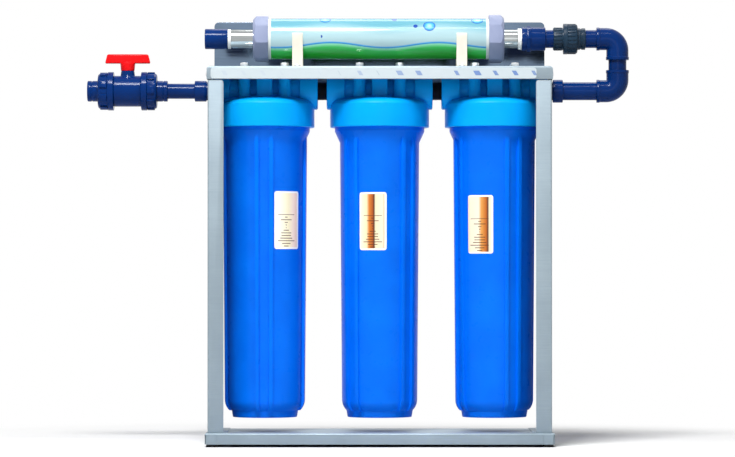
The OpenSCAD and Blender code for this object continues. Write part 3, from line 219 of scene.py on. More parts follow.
def foilSticker(name, centreX, centreZ, halfWidth, halfHeight, *foilTintAndPaintedReflection):
    material, tree, shader = newMaterial(name, Roughness=0.3, Specular_IOR_Level=0.35)
    place = printPlace(tree, centreX, centreZ, halfWidth, halfHeight)
    across = addNode(tree, "MapRange", {"From Min": -1, "From Max": 1}, {"Value": place["X"]})
    # foil tint across the width, with a painted reflection in upright bands
    face = addNode(tree, "ValToRGB", {"stops": shades(*foilTintAndPaintedReflection)}, {"Fac": across})
    side = addNode(tree, "Math", {"operation": "ABSOLUTE"}, {0: place["X"]})
    rise = addNode(tree, "Math", {"operation": "ABSOLUTE"}, {0: place["Z"]})
    rimSide = addNode(tree, "Math", {"operation": "GREATER_THAN", 1: stickerPrint["rimX"]}, {0: side})
    rimEnd = addNode(tree, "Math", {"operation": "GREATER_THAN", 1: stickerPrint["rimZ"]}, {0: rise})
    rim = addNode(tree, "Math", {"operation": "MAXIMUM"}, {0: rimSide, 1: rimEnd})
    rows = addNode(tree, "Math", {"operation": "MULTIPLY", 1: stickerPrint["rows"]}, {0: place["Z"]})
    row = addNode(tree, "Math", {"operation": "FRACT"}, {0: rows})
    ruled = addNode(tree, "Math", {"operation": "LESS_THAN", 1: stickerPrint["rule"]}, {0: row})
    number = addNode(tree, "Math", {"operation": "FLOOR"}, {0: rows})
    length = addNode(tree, "TexWhiteNoise", {"noise_dimensions": "1D"}, {"W": number})
    reach = addNode(tree, "Math", {"operation": "MULTIPLY", 1: stickerPrint["ruleLen"]}, {0: length})
    short = addNode(tree, "Math", {"operation": "LESS_THAN"}, {0: side, 1: reach})
    low = addNode(tree, "Math", {"operation": "LESS_THAN", 1: stickerPrint["rulesBelow"]}, {0: place["Z"]})
    rule = addNode(tree, "Math", {"operation": "MULTIPLY"}, {0: ruled, 1: short})
    ink = addNode(tree, "Math", {"operation": "MULTIPLY"}, {0: rule, 1: low})
    inked = addNode(tree, "Mix", {"data_type": "RGBA", 7: linear("#5a2a12")}, {0: ink, 6: face})
    rimmed = addNode(tree, "Mix", {"data_type": "RGBA", 7: linear("#fbfaf6")}, {0: rim, 6: inked.outputs[2]})
    tree.links.new(rimmed.outputs[2], shader.inputs["Base Color"])
    return material


# Printed white film: slanting blue and grey ticks at uneven distances, fainter towards the left
ticks = {"step": 0.034, "z": 0.6568, "slant": 0.6, "width": 0.34, "halfHeight": 0.12,
         "fade": {"From Min": -3.0, "From Max": 5.0, "To Min": 0.08, "To Max": 0.75}}


def lipFilm(name):
    material, tree, shader = newMaterial(name, Roughness=0.3, Specular_IOR_Level=0.3)
    place = printPlace(tree, 0, ticks["z"], ticks["step"], ticks["step"])
    slant = addNode(tree, "Math", {"operation": "MULTIPLY_ADD", 1: ticks["slant"]},
                    {0: place["Z"], 2: place["X"]})
    step = addNode(tree, "Math", {"operation": "FRACT"}, {0: slant})
    number = addNode(tree, "Math", {"operation": "FLOOR"}, {0: slant})
    chance = addNode(tree, "TexWhiteNoise", {"noise_dimensions": "1D"}, {"W": number})
    width = addNode(tree, "Math", {"operation": "MULTIPLY", 1: ticks["width"]}, {0: chance})
    tick = addNode(tree, "Math", {"operation": "LESS_THAN"}, {0: step, 1: width})
    rise = addNode(tree, "Math", {"operation": "ABSOLUTE"}, {0: place["Z"]})
    inBand = addNode(tree, "Math", {"operation": "LESS_THAN", 1: ticks["halfHeight"]}, {0: rise})
    mark = addNode(tree, "Math", {"operation": "MULTIPLY"}, {0: tick, 1: inBand})
    fade = addNode(tree, "MapRange", ticks["fade"], {"Value": place["X"]})
    ink = addNode(tree, "Math", {"operation": "MULTIPLY"}, {0: mark, 1: fade})
    tint = addNode(tree, "ValToRGB", {"stops": shades((0.3, "#7d93a8"), (0.6, "#2b62b0"))}, {"Fac": chance})
    printed = addNode(tree, "Mix", {"data_type": "RGBA", 6: linear("#bcc7cc")}, {0: ink, 7: tint})
    tree.links.new(printed.outputs[2], shader.inputs["Base Color"])
    return material


finishes = {
    "sumpBlue": mouldedPlastic("moulded_polypropylene_blue", "#016bea", "#0273f2", gloss=0.3, level=0.07),
    # caps: the sumps' moulded blue, painted lighter as painted light for the strong light from above
    "capBluePaintedLighter": mouldedPlastic("moulded_polypropylene_blue_painted_lighter", "#049ef2", "#05a6f8", gloss=0.32, level=0.07),
    "pipeNavy": mouldedPlastic("moulded_pvc_navy", "#00245c", "#002b6a", gloss=0.13, level=0.1),
    "unionSlate": mouldedPlastic("moulded_pvc_slate", "#14283a", "#1b3448", gloss=0.34, level=0.16),
    "handleRed": mouldedPlastic("moulded_abs_red", "#e30d13", "#ec151b", gloss=0.3, level=0.12),
    "nutGrey": mouldedPlastic("moulded_abs_grey", "#7f88a6", "#8a93b0", gloss=0.34),
    "nippleBlack": mouldedPlastic("moulded_nylon_black", "#15161a", "#202228", gloss=0.45),
    "strapIvory": mouldedPlastic("moulded_nylon_ivory", "#dad5c6", "#e3dfd3", gloss=0.4),
    "sealWhite": mouldedPlastic("ptfe_white", "#eeeeea", "#fafaf8", gloss=0.55, skin=0.6),
    "innerWhite": mouldedPlastic("moulded_polypropylene_white", "#e6eaec", "#f2f5f6", gloss=0.45),
    "shellPrint": printedSleeve("printed_sleeve_gloss"),
    # stops across each sticker's width: the foil's tint with a painted reflection
    "foilSticker1": foilSticker(
        "foil_sticker_gloss_pale", -0.127, 0.399, 0.021, 0.051,
        (0.0, "#fffdf2"), (0.35, "#fdf6dc"), (0.6, "#f6ecc6"), (0.8, "#fbe3cf"), (1.0, "#f0cdb4")),
    "foilSticker2": foilSticker(
        "foil_sticker_gloss_copper", 0.0256, 0.397, 0.024, 0.051,
        (0.0, "#fdf6e0"), (0.28, "#f5dcae"), (0.36, "#d07a2c"), (0.5, "#a4501a"), (0.55, "#301208"),
        (0.6, "#f3dfb8"), (0.85, "#f7e8cc"), (1.0, "#c98a5c")),
    "foilSticker3": foilSticker(
        "foil_sticker_gloss_amber", 0.2142, 0.3915, 0.0235, 0.0515,
        (0.0, "#d9ab80"), (0.12, "#f4e4c4"), (0.45, "#f8ecd0"), (0.55, "#dd9a4a"), (0.74, "#b85f1e"),
        (0.8, "#3a170a"), (0.86, "#f4e2c6")),
    "lipFilm": lipFilm("printed_film_white"),
    "standSteel": lineSteel("galvanised_sheet_satin", "#98a7b0", "#8a99a3", 0.5, metallic=0.6),
    "panelSteel": lineSteel("stainless_sheet_polished", "#788ba2", "#66788d", 0.16),
    "boltZinc": lineSteel("zinc_plate_bright", "#f0f2f3", "#dde1e4", 0.3, lines=(1, 1, 1)),
    "pipeSteel": lineSteel("stainless_pipe_polished", "#b4b8b8", "#9ea3a4", 0.1, lines=(1, 30, 30)),
    "ballSteel": lineSteel("stainless_turned_polished", "#d8dadb", "#c6c8ca", 0.12, lines=(1, 1, 1)),
    "footRubber": dullBlack("nitrile_rubber_black", "#121214", "#1d1d20"),
    "sealRubber": dullBlack("epdm_rubber_black", "#0d0d0f", "#17181a"),
    "ferrite": dullBlack("sintered_ferrite", "#303236", "#44474c"),
    "spunFibre": spunFibre("melt_blown_fibre"),
}
print("finishes made:", len(finishes))

# Finish of each record slot, for the nodes that are carried over
slotFinish = {
    "stand_steel": "standSteel", "panel_steel": "panelSteel", "foot_rubber": "footRubber",
    "fastener_steel": "boltZinc", "housing_blue": "sumpBlue", "seal_rubber": "sealRubber",
    "cartridge_media": "spunFibre", "cartridge_plastic": "innerWhite", "nipple_black": "nippleBlack",
    "pipe_navy": "pipeNavy", "union_grey": "unionSlate", "seat_white": "sealWhite", "ball_steel": "ballSteel",
    "handle_red": "handleRed", "shell_print": "shellPrint", "ring_nut_grey": "nutGrey",
    "pipe_steel": "pipeSteel", "magnet_dark": "ferrite", "strap_white": "strapIvory",
}
slotOf = {part["node"]: part["material_slot"] for part in frame["record"]["subparts"]}
bodyOf = {node: body for body, members in frame["record"]["behaviour"]["bodies"].items() for node in members}
for name, node in nodes.items():
    node.data.materials.clear()
    node.data.materials.append(finishes[slotFinish[slotOf[name]]])
print("finishes put on the carried-over nodes")


def editMode():
    bpy.ops.object.mode_set(mode="EDIT")


def objectMode():
    bpy.ops.object.mode_set(mode="OBJECT")


def deselectAll():
    if bpy.context.mode != "OBJECT":
        objectMode()
    bpy.ops.object.select_all(action="DESELECT")


def work(piece):      # makes this piece the only one that operators act on
    deselectAll()
    piece.select_set(True)
    bpy.context.view_layer.objects.active = piece


def choose(piece, kind, test):      # opens edit mode with the faces, edges or vertices that pass the test
    work(piece)
    editMode()
    bpy.ops.mesh.select_mode(type={"polygons": "FACE", "edges": "EDGE", "vertices": "VERT"}[kind])
    bpy.ops.mesh.select_all(action="DESELECT")
    objectMode()
    for element in getattr(piece.data, kind):
        element.select = test(element)
    editMode()


def chooseAll(piece):
    choose(piece, "vertices", lambda v: True)


def editWhole():      # opens edit mode on the active piece with every point chosen
    editMode()
    bpy.ops.mesh.select_mode(type="VERT")
    bpy.ops.mesh.select_all(action="SELECT")


def mergeChosen(distance=0.002):
    bpy.ops.mesh.remove_doubles(threshold=distance * mm)


def faceOutward(piece):
    choose(piece, "polygons", lambda f: True)
    bpy.ops.mesh.normals_make_consistent(inside=False)
    objectMode()


def extrudeBy(x, y, z):
    bpy.ops.mesh.extrude_region_move(TRANSFORM_OT_translate={"value": (x, y, z)})


def applyPlace():
    bpy.ops.object.transform_apply(location=True, rotation=True, scale=True)


def start(name, addPrimitive, **settings):      # the rough block of a piece, to be shaped further
    deselectAll()
    addPrimitive(**settings)
    piece = bpy.context.active_object
    piece.name = piece.data.name = name
    applyPlace()
    return piece


def prism(name, sides, radius, low, high):      # rough block with flat sides, upright
    return start(name, bpy.ops.mesh.primitive_cylinder_add, vertices=sides, radius=radius * mm,
                 depth=(high - low) * mm, location=(0, 0, (low + high) / 2 * mm))


def modify(piece, kind, **settings):
    modifier = piece.modifiers.new(kind.lower(), kind)
    for key, value in settings.items():
        setattr(modifier, key, value)
    work(piece)
    bpy.ops.object.modifier_apply(modifier=modifier.name)


def soften(piece, width, segments=2, angle=32):
    modify(piece, "BEVEL", limit_method="ANGLE", angle_limit=math.radians(angle), width=width * mm,
           segments=segments, use_clamp_overlap=True)


def combine(piece, tool, operation="UNION"):
    modify(piece, "BOOLEAN", operation=operation, solver="EXACT", object=tool)
    bpy.data.objects.remove(tool)


def rounded(corners, steps=4):      # a corner with a third number gets a fillet of that radius
    points = []
    for k, corner in enumerate(corners):
        here = Vector(corner[:2])
        radius = corner[2] if len(corner) > 2 else 0
        if not radius:
            points.append(here)
            continue
        before = (Vector(corners[k - 1][:2]) - here).normalized()
        after = (Vector(corners[(k + 1) % len(corners)][:2]) - here).normalized()
        half = before.angle(after) / 2
        centre = here + (before + after).normalized() * radius / math.sin(half)
        first = here + before * radius / math.tan(half) - centre
        sweep = first.angle_signed(here + after * radius / math.tan(half) - centre)
        points += [centre + Matrix.Rotation(-sweep * j / steps, 2) @ first for j in range(steps + 1)]
    return points


def startPoint(name):      # a piece of one point at the origin, open in edit mode
    piece = start(name, bpy.ops.mesh.primitive_plane_add, size=mm)
    editWhole()
    bpy.ops.mesh.merge(type="CENTER")
    return piece


def spinOutline(name, corners, steps=96, sweep=360):      # radius and height of each corner, in millimetres
    outline = rounded(corners)
    if outline[0].x > 0:      # an outline that starts on the axis needs no closing line
        outline.append(outline[0])
    piece = startPoint(name)
    here = Vector()
    for k, point in enumerate(outline):
        there = Vector((point.x * mm, 0, point.y * mm))
        if k:
            extrudeBy(*(there - here))
        else:
            bpy.ops.transform.translate(value=there)
        here = there
    bpy.ops.mesh.select_all(action="SELECT")
    bpy.ops.mesh.spin(steps=steps, angle=math.radians(sweep), center=(0, 0, 0), axis=(0, 0, 1))
    bpy.ops.mesh.select_all(action="SELECT")
    mergeChosen()
    bpy.ops.mesh.normals_make_consistent(inside=False)
    objectMode()
    return piece


def put(piece, place, along="Z", turn=0):      # turns a piece drawn along Z, and moves it to its place
    tilt = {"Z": 0, "X": 90, "-X": -90}[along]
    work(piece)
    piece.matrix_world = (Matrix.Translation(place) @ Matrix.Rotation(math.radians(tilt), 4, "Y")
                          @ Matrix.Rotation(math.radians(turn), 4, "Z"))
    applyPlace()
    return piece


def turnHere(piece, turn, along="Z"):      # an odd turn keeps the facets of two pieces from lining up
    return put(piece, (0, 0, 0), along, turn)


def copyPiece(piece, name):
    copy = bpy.data.objects.new(name, piece.data.copy())
    bpy.context.scene.collection.objects.link(copy)
    return copy


def joinPieces(pieces, name):
    work(pieces[0])
    for piece in pieces:
        piece.select_set(True)
    bpy.ops.object.join()
    pieces[0].name = pieces[0].data.name = name
    return pieces[0]


def settle(piece, finish, *replaced, body=None, slot=None, smooth=32):
    work(piece)
    bpy.ops.object.shade_smooth_by_angle(angle=math.radians(smooth))
    piece.data.materials.clear()
    piece.data.materials.append(finishes[finish])
    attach(piece, body or bodyOf[replaced[0]])
    if replaced:
        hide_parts(*replaced)
    return piece


def middle(node):
    low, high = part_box(node)
    return (low + high) / 2


def hangThree(body, name, node, finish, turns):      # a copy for each housing, with its own turn
    for i, turn in enumerate(turns, 1):
        piece = copyPiece(body, f"{name}_{i}")
        low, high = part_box(f"{node}_{i}")
        put(piece, ((low.x + high.x) / 2, 0, low.z), turn=turn)
        settle(piece, finish, f"{node}_{i}")
    bpy.data.objects.remove(body)


# Raises ribs, grips or lugs: outer faces of a turned piece in some angles, lifted by an amount at each level
def raiseFaces(piece, inWindow, low, high, lift, sameLevel=0.02):
    def onRib(face):
        outside = face.normal.x * face.center.x + face.normal.y * face.center.y > 0
        angle = math.degrees(math.atan2(face.center.y, face.center.x))
        return outside and inWindow(angle) and low < face.center.z / mm < high

    choose(piece, "polygons", onRib)
    bpy.ops.mesh.extrude_region_move()
    objectMode()
    raised = {v.index: v.co.copy() for v in piece.data.vertices if v.select}
    for level in sorted({round(co.z / mm, 2) for co in raised.values()}):
        radius = next(co.xy.length for co in raised.values() if abs(co.z / mm - level) < sameLevel) / mm
        grow = 1 + lift(level) / radius
        choose(piece, "vertices", lambda v: v.index in raised and abs(v.co.z / mm - level) < sameLevel)
        bpy.ops.transform.resize(value=(grow, grow, 1), center_override=(0, 0, level * mm))
    chooseAll(piece)
    mergeChosen()
    objectMode()


# Sumps: one bowl with four pairs of ribs, copied and turned to each housing
sump = {
    "ringR": 59, "ringH": 12, "hollowR": 50, "hollowH": 4, "bowlH": 31, "wallR": 67, "shoulderR": 70.5,
    "shoulderZ": 487.3, "neckR": 79.7, "neckZ": 507.3, "rimZ": 538.3, "mouthR": 65.5, "wall": 5, "floorR": 53,
    "floorZ": 9, "seatR": 22, "seatZ": 17, "spigotR": 13, "spigotZ": 25, "rib": 4.7, "ribFrom": 7,
    "ribTo": 13, "edge": 1.1, "turns": (0, 45, 26), "bowlSteps": 6,
}
swell = sump["wallR"] - sump["ringR"]
bowlRise = sump["bowlH"] - sump["ringH"]
bowlR = swell / 2 + bowlRise ** 2 / (2 * swell)
bowlSweep = math.asin(bowlRise / bowlR)
bowlAngles = [bowlSweep * (1 - k / sump["bowlSteps"]) for k in range(sump["bowlSteps"] + 1)]
bowl = [(sump["wallR"] - bowlR + bowlR * math.cos(a), sump["bowlH"] - bowlR * math.sin(a))
        for a in bowlAngles]
ribEndZ = sump["shoulderZ"] + (sump["neckZ"] - sump["shoulderZ"]) * sump["rib"] / (
    sump["neckR"] - sump["shoulderR"])      # where the straight ribs run into the flared shoulder
sumpBody = spinOutline("sump", [
    (0, sump["hollowH"]), (sump["hollowR"], sump["hollowH"], 1), (sump["hollowR"], 0, 1.2),
    (sump["ringR"] - 2, 0, 1.5), *bowl, (sump["shoulderR"], sump["shoulderZ"]),
    (sump["shoulderR"] + sump["rib"], ribEndZ), (sump["neckR"], sump["neckZ"], 3),
    (sump["neckR"], sump["rimZ"], 1), (sump["mouthR"], sump["rimZ"], 1),
    (sump["shoulderR"] - sump["wall"], sump["shoulderZ"]), (sump["wallR"] - sump["wall"], sump["bowlH"]),
    (sump["floorR"], sump["floorZ"], 3), (sump["seatR"], sump["floorZ"]), (sump["seatR"], sump["seatZ"]),
    (sump["spigotR"], sump["seatZ"]), (sump["spigotR"], sump["spigotZ"], 2), (0, sump["spigotZ"])],
    steps=180)
turnHere(sumpBody, 1)      # faces now lie about even degrees
raiseFaces(sumpBody, lambda angle: sump["ribFrom"] < min(angle % 90, 90 - angle % 90) < sump["ribTo"],
           sump["ringH"], ribEndZ, lambda level: sump["rib"] if level < ribEndZ - 1 else 0)
soften(sumpBody, sump["edge"], angle=40)
hangThree(sumpBody, "sump_bowl", "sump", "sumpBlue", sump["turns"])
print("sumps modelled")

# Caps: domed skirt, port core with two collars, a fin and four bolt columns, united
cap = {
    "r": 88, "skirtH": 42, "domeH": 15, "socketR": 80, "socketH": 25.1, "chamberR": 60, "chamberH": 33.1,
    "pressH": 17, "noseH": 9, "spigotR": 13, "flangeR": 22, "portH": 65, "topH": 103.5, "coreD": 50,
    "span": 188, "collarD": 66, "collarLen": 32, "portD": 33, "portDepth": 20, "chamfer": 1.5,
    "finW": 28, "finD": 92, "finEdge": 2.5, "bossD": 20, "bossDraft": 1.5, "boltSquare": 71.2, "boltD": 8.2,
    "boltDepth": 24, "domeAngles": (14, 90, 6),
}
dome = [(cap["r"] * math.cos(math.radians(a)), cap["skirtH"] + cap["domeH"] * math.sin(math.radians(a)))
        for a in range(*cap["domeAngles"])]
capBody = spinOutline("cap", [
    (0, cap["noseH"]), (cap["spigotR"], cap["noseH"], 1), (cap["spigotR"], cap["pressH"]),
    (cap["flangeR"], cap["pressH"]), (cap["flangeR"], cap["chamberH"]), (cap["chamberR"], cap["chamberH"]),
    (cap["chamberR"], cap["socketH"]), (cap["socketR"], cap["socketH"]), (cap["socketR"], 0, 0.6),
    (cap["r"], 0, 1.6), (cap["r"], cap["skirtH"] - 1, 4), *dome, (0, cap["skirtH"] + cap["domeH"])],
    steps=144)
end = cap["span"] / 2
portR, collarR = cap["portD"] / 2, cap["collarD"] / 2
half = [(0, end - cap["portDepth"]), (portR, end - cap["portDepth"]), (portR, end - cap["chamfer"]),
        (portR + cap["chamfer"], end), (collarR, end, 2.5), (collarR, end - cap["collarLen"], 1.5),
        (cap["coreD"] / 2, end - cap["collarLen"])]      # one port, from its bore to the core
mirrored = [(corner[0], -corner[1], *corner[2:]) for corner in reversed(half)]
ports = spinOutline("ports", half + mirrored)
combine(capBody, put(ports, (0, 0, cap["portH"] * mm), "X", turn=1.3))
fin = start("fin", bpy.ops.mesh.primitive_cube_add, size=1,
            location=(0, 0, (cap["skirtH"] + cap["topH"]) / 2 * mm),
            scale=(cap["finW"] * mm, cap["finD"] * mm, (cap["topH"] - cap["skirtH"]) * mm))
soften(fin, cap["finEdge"], segments=3)
combine(capBody, fin)
side = cap["boltSquare"] / 2 * mm
boltPlaces = [Vector(((side, -side)[k % 2], (side, -side)[k // 2], 0)) for k in range(4)]
for place in boltPlaces:
    boss = spinOutline("boss", [
        (0, cap["skirtH"]), (cap["bossD"] / 2 + cap["bossDraft"], cap["skirtH"]),
        (cap["bossD"] / 2, cap["topH"], 1), (cap["boltD"] / 2, cap["topH"]),
        (cap["boltD"] / 2, cap["topH"] - cap["boltDepth"]), (0, cap["topH"] - cap["boltDepth"])], steps=48)
    combine(capBody, put(boss, place, turn=2.1))
hangThree(capBody, "housing_cap", "cap", "capBluePaintedLighter", (0, 0, 0))
print("caps modelled")

# Pieces drawn along X on the axis of the ports or of the conditioner tube
portZ = middle("inlet_pipe").z
tubeZ = middle("flow_pipe").z


def turned(name, corners, x, z, along="X", steps=96):
    return put(spinOutline(name, corners, steps), (x, 0, z), along)


def pipeRun(name, bore, r, edge, length, place, along="X", steps=96):      # plain pipe with softened ends
    outline = [(bore, 0), (r, 0, edge), (r, length, edge), (bore, length)]
    return put(spinOutline(name, outline, steps), place, along)


def pipeOver(name, node, bore, r, edge, z, steps=96):      # plain pipe as long as its node
    low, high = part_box(node)
    return pipeRun(name, bore, r, edge, (high.x - low.x) / mm, (low.x, 0, z), steps=steps)


# Stand: copies of the folded sheets with their edges broken
foldedSheet = {"merge": 0.004, "flatAngle": 0.5}
sheetEdges = {"base_tray": 0.35, "left_leg": 0.35, "right_leg": 0.35, "top_plate": 0.35, "back_panel": 0.3,
              "strap_bases": 0.9, "tube_straps": 0.4}
clip = {"rise": 9, "groove": 5.6, "depth": 0.7, "armSpace": 4}
for node, edge in sheetEdges.items():
    piece = copyPiece(nodes[node], "folded_" + node)
    chooseAll(piece)
    mergeChosen(foldedSheet["merge"])
    if node == "tube_straps":      # open snap clips, with arms that end just above the middle of the tube
        piece.name = piece.data.name = "open_tube_clips"
        bpy.ops.mesh.bisect(plane_co=(0, 0, tubeZ + clip["rise"] * mm), plane_no=(0, 0, 1), use_fill=True,
                            clear_outer=True)
        bpy.ops.mesh.select_all(action="SELECT")
    bpy.ops.mesh.dissolve_limited(angle_limit=math.radians(foldedSheet["flatAngle"]))
    if node == "tube_straps":      # a shallow groove down the outside of each arm
        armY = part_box("conditioner_shell")[1].y
        choose(piece, "polygons", lambda f: f.center.z < tubeZ and f.normal.y * f.center.y > armY
               and abs(f.center.y) < armY + clip["armSpace"] * mm)
        bpy.ops.mesh.inset(thickness=clip["groove"] * mm, depth=-clip["depth"] * mm, use_individual=True)
    soften(piece, edge)
    settle(piece, slotFinish[slotOf[node]], node)
print("stand and clips modelled")

# Hexagon bolts with washers, one of each modelled and copied to the twelve places
bolt = {"head": 15.04, "headH": 5.3, "shank": 8, "depth": 24, "washer": 16, "washerH": 1.6, "spring": 13.2,
        "springH": 2, "bore": 8.2, "springCut": 8, "crown": 1.2, "crownH": 2, "beyond": 1, "edge": 0.25}
hexBolt = prism("hexBolt", 6, bolt["head"] / 2, 0, bolt["headH"])
bevelled = spinOutline("bevelled", [
    (0, -bolt["beyond"]), (bolt["head"], -bolt["beyond"]),
    (bolt["head"] / 2 + bolt["beyond"], bolt["headH"] - bolt["crownH"]),
    (bolt["head"] / 2 - bolt["crown"], bolt["headH"]), (0, bolt["headH"])])
combine(hexBolt, bevelled, "INTERSECT")
shank = spinOutline("shank", [(0, -bolt["depth"]), (bolt["shank"] / 2, -bolt["depth"], 0.8),
                              (bolt["shank"] / 2, bolt["beyond"]), (0, bolt["beyond"])], steps=32)
combine(hexBolt, shank)
soften(hexBolt, bolt["edge"])
boltBore = bolt["bore"] / 2
top = bolt["washerH"] + bolt["springH"]
plain = spinOutline("plain", [(boltBore, 0), (bolt["washer"] / 2, 0, 0.3),
                              (bolt["washer"] / 2, bolt["washerH"], 0.3), (boltBore, bolt["washerH"])],
                    steps=48)
spring = spinOutline("spring", [(boltBore, bolt["washerH"]), (bolt["spring"] / 2, bolt["washerH"], 0.3),
                                (bolt["spring"] / 2, top, 0.3), (boltBore, top)],
                     steps=48, sweep=360 - bolt["springCut"])
choose(spring, "vertices", lambda v: False)
bpy.ops.mesh.select_non_manifold()
bpy.ops.mesh.fill_holes(sides=0)
washers = joinPieces([plain, spring], "washers")
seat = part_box("bolt_washers")[0].z
bolts, rings = [], []
for i in (1, 2, 3):
    for k, place in enumerate(boltPlaces):
        at = place + Vector((middle(f"cap_{i}").x, 0, seat))
        turn = 17 * i + 31 * k      # each bolt was tightened to its own angle
        bolts.append(put(copyPiece(hexBolt, "bolt"), at + Vector((0, 0, top * mm)), turn=turn))
        rings.append(put(copyPiece(washers, "washer"), at, turn=2 * turn))
bpy.data.objects.remove(hexBolt)
bpy.data.objects.remove(washers)
settle(joinPieces(bolts, "hexagon_bolts"), "boltZinc", "housing_bolts")
settle(joinPieces(rings, "plain_and_spring_washers"), "boltZinc", "bolt_washers")
print("bolts modelled")

# Threaded nipples between the caps
nipple = {"r": 16.4, "root": 15.2, "bore": 12.5, "pitch": 2.3, "inPort": 18}
nipples = []
for i in (1, 2):
    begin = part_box(f"cap_{i}")[1].x - nipple["inPort"] * mm
    length = (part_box(f"cap_{i + 1}")[0].x + nipple["inPort"] * mm - begin) / mm
    turns = int(length / nipple["pitch"])
    thread = [(nipple["root"] if k % 2 else nipple["r"], k * length / (2 * turns))
              for k in range(2 * turns + 1)]
    nipples.append(turned("nipple", [(nipple["bore"], 0), *thread, (nipple["bore"], length)], begin, portZ,
                          steps=64))
settle(joinPieces(nipples, "threaded_nipples"), "nippleBlack", "port_nipples")


# Adaptors, pipes and sockets of solvent-welded pipework
def threadedSocket(size):      # outline of a pipe socket on a threaded spigot
    rim, edge, foot = size["rounds"]
    return [(size["socketR"], size["len"], rim), (size["r"], size["len"], edge), (size["r"], 0, foot),
            (size["threadR"], 0), (size["threadR"], -size["threadLen"]), (size["bore"], -size["threadLen"]),
            (size["bore"], size["floor"]), (size["socketR"], size["floor"])]


adaptor = {"threadR": 16.4, "threadLen": 28, "bore": 10, "floor": 3, "rounds": (0, 1.4, 1.4)}
for node, length, outer, hole, along, corner in (("inlet_adaptor", 21, 18.5, 13.6, "-X", 0),
                                                 ("outlet_adaptor", 18, 20.5, 16.1, "X", 1)):
    sign = -1 if along == "-X" else 1
    outline = threadedSocket({**adaptor, "len": length, "r": outer, "socketR": hole})
    piece = turned("collar_" + node, outline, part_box(node)[corner].x - sign * length * mm, portZ, along)
    settle(piece, "pipeNavy", node)
inlet = {"bore": 10.5, "r": 13.5, "edge": 0.5}
settle(pipeOver("inlet_tube", "inlet_pipe", z=portZ, **inlet), "pipeNavy", "inlet_pipe")

elbow = {"r": 19.75, "bend": 20.5, "leg": 17, "bead": 0.8, "beadLen": 5, "lip": 1.2, "wall": 3.7,
         "socket": 17.5, "edge": 0.7, "sides": 64, "steps": 14}
beadR = elbow["r"] + elbow["bead"]
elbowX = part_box("lower_elbow")[1].x - beadR * mm
reach = (elbow["bend"] + elbow["leg"]) * mm
upper = start("upper_bend", bpy.ops.mesh.primitive_circle_add, vertices=elbow["sides"], radius=beadR * mm,
              location=(-reach, 0, 0), rotation=(0, math.radians(90), 0))
editWhole()
slim = elbow["r"] / beadR
bead = elbow["beadLen"] * mm
lip = elbow["lip"] * mm
straight = elbow["leg"] * mm - bead - lip
extrudeBy(bead, 0, 0)
extrudeBy(lip, 0, 0)
bpy.ops.transform.resize(value=(1, slim, slim), center_override=(bead + lip - reach, 0, 0))
extrudeBy(straight, 0, 0)
bpy.ops.mesh.spin(steps=elbow["steps"], angle=math.radians(90), axis=(0, 1, 0),
                  center=(-elbow["bend"] * mm, 0, elbow["bend"] * mm))
extrudeBy(0, 0, straight)
extrudeBy(0, 0, lip)
bpy.ops.transform.resize(value=(1 / slim, 1 / slim, 1), center_override=(0, 0, reach - bead))
extrudeBy(0, 0, bead)
bpy.ops.mesh.select_all(action="SELECT")
mergeChosen()
bpy.ops.mesh.normals_make_consistent(inside=False)
modify(upper, "SOLIDIFY", thickness=elbow["wall"] * mm, offset=-1)
soften(upper, elbow["edge"], angle=50)
lower = copyPiece(upper, "lower_bend")
put(lower, (elbowX, 0, portZ))
work(upper)
upper.scale = (1, 1, -1)
upper.location = (elbowX, 0, tubeZ)
applyPlace()
faceOutward(upper)
settle(lower, "pipeNavy", "lower_elbow")
settle(upper, "pipeNavy", "upper_elbow")

loop = {"r": 16, "bore": 13, "edge": 0.5, "inAdaptor": 15 * mm, "inInlet": 21.5 * mm, "shortOfNut": 0.5 * mm}
inSocket = elbow["socket"] * mm
lowerElbow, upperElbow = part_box("lower_elbow"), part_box("upper_elbow")
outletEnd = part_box("outlet_adaptor")[1].x
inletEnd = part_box("conditioner_inlet")[1].x
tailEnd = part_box("union_tail")[1].x
runs = [
    ("X", (outletEnd - loop["inAdaptor"], 0, portZ),
     lowerElbow[0].x + inSocket - outletEnd + loop["inAdaptor"]),
    ("Z", (elbowX, 0, lowerElbow[1].z - inSocket), upperElbow[0].z - lowerElbow[1].z + 2 * inSocket),
    ("X", (inletEnd - loop["inInlet"], 0, tubeZ),
     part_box("union_nut")[0].x - inletEnd + loop["inInlet"] - loop["shortOfNut"]),
    ("X", (tailEnd - inSocket, 0, tubeZ), lowerElbow[0].x + 2 * inSocket - tailEnd),
]
tubes = [pipeRun("run", loop["bore"], loop["r"], loop["edge"], length / mm, place, along)
         for along, place, length in runs]
settle(joinPieces(tubes, "loop_tubes"), "pipeNavy", "loop_pipes")
print("pipework modelled")

# Union nuts: plain band, grips, rounded outer edge and an inner lip
valveNut = {"r": 34.3, "band": 10, "core": 31.3, "len": 28, "round": 4, "bore": 26.8, "lip": 3, "hub": 19.1,
            "grips": 8, "steps": 128, "edge": 0.8}
unionNut = {"r": 27.25, "band": 7, "core": 26.05, "len": 25, "round": 3, "bore": 23.3, "lip": 3, "hub": 19.85,
            "grips": 24, "steps": 144, "edge": 0.35}
gripForm = {"slope": 0.4, "belowBand": 0.3, "slack": 0.05}


def evenGrips(count):      # grips and the gaps between them are equally wide
    return lambda angle: angle / 360 * count % 1 < 0.5


def gripNut(name, nut):
    gripLow = nut["band"] + gripForm["slope"] * (nut["r"] - nut["core"])
    piece = spinOutline(name, [
        (nut["bore"], 0), (nut["r"], 0, 1), (nut["r"], nut["band"], 0.6), (nut["core"], gripLow),
        (nut["core"], nut["len"], nut["round"]), (nut["hub"], nut["len"], 0.6),
        (nut["hub"], nut["len"] - nut["lip"]), (nut["bore"], nut["len"] - nut["lip"])], steps=nut["steps"])
    raiseFaces(piece, evenGrips(nut["grips"]), gripLow, nut["len"] - nut["round"] + gripForm["slack"],
               lambda level: nut["r"] - gripForm["belowBand"] - nut["core"])
    soften(piece, nut["edge"], angle=40)
    return piece


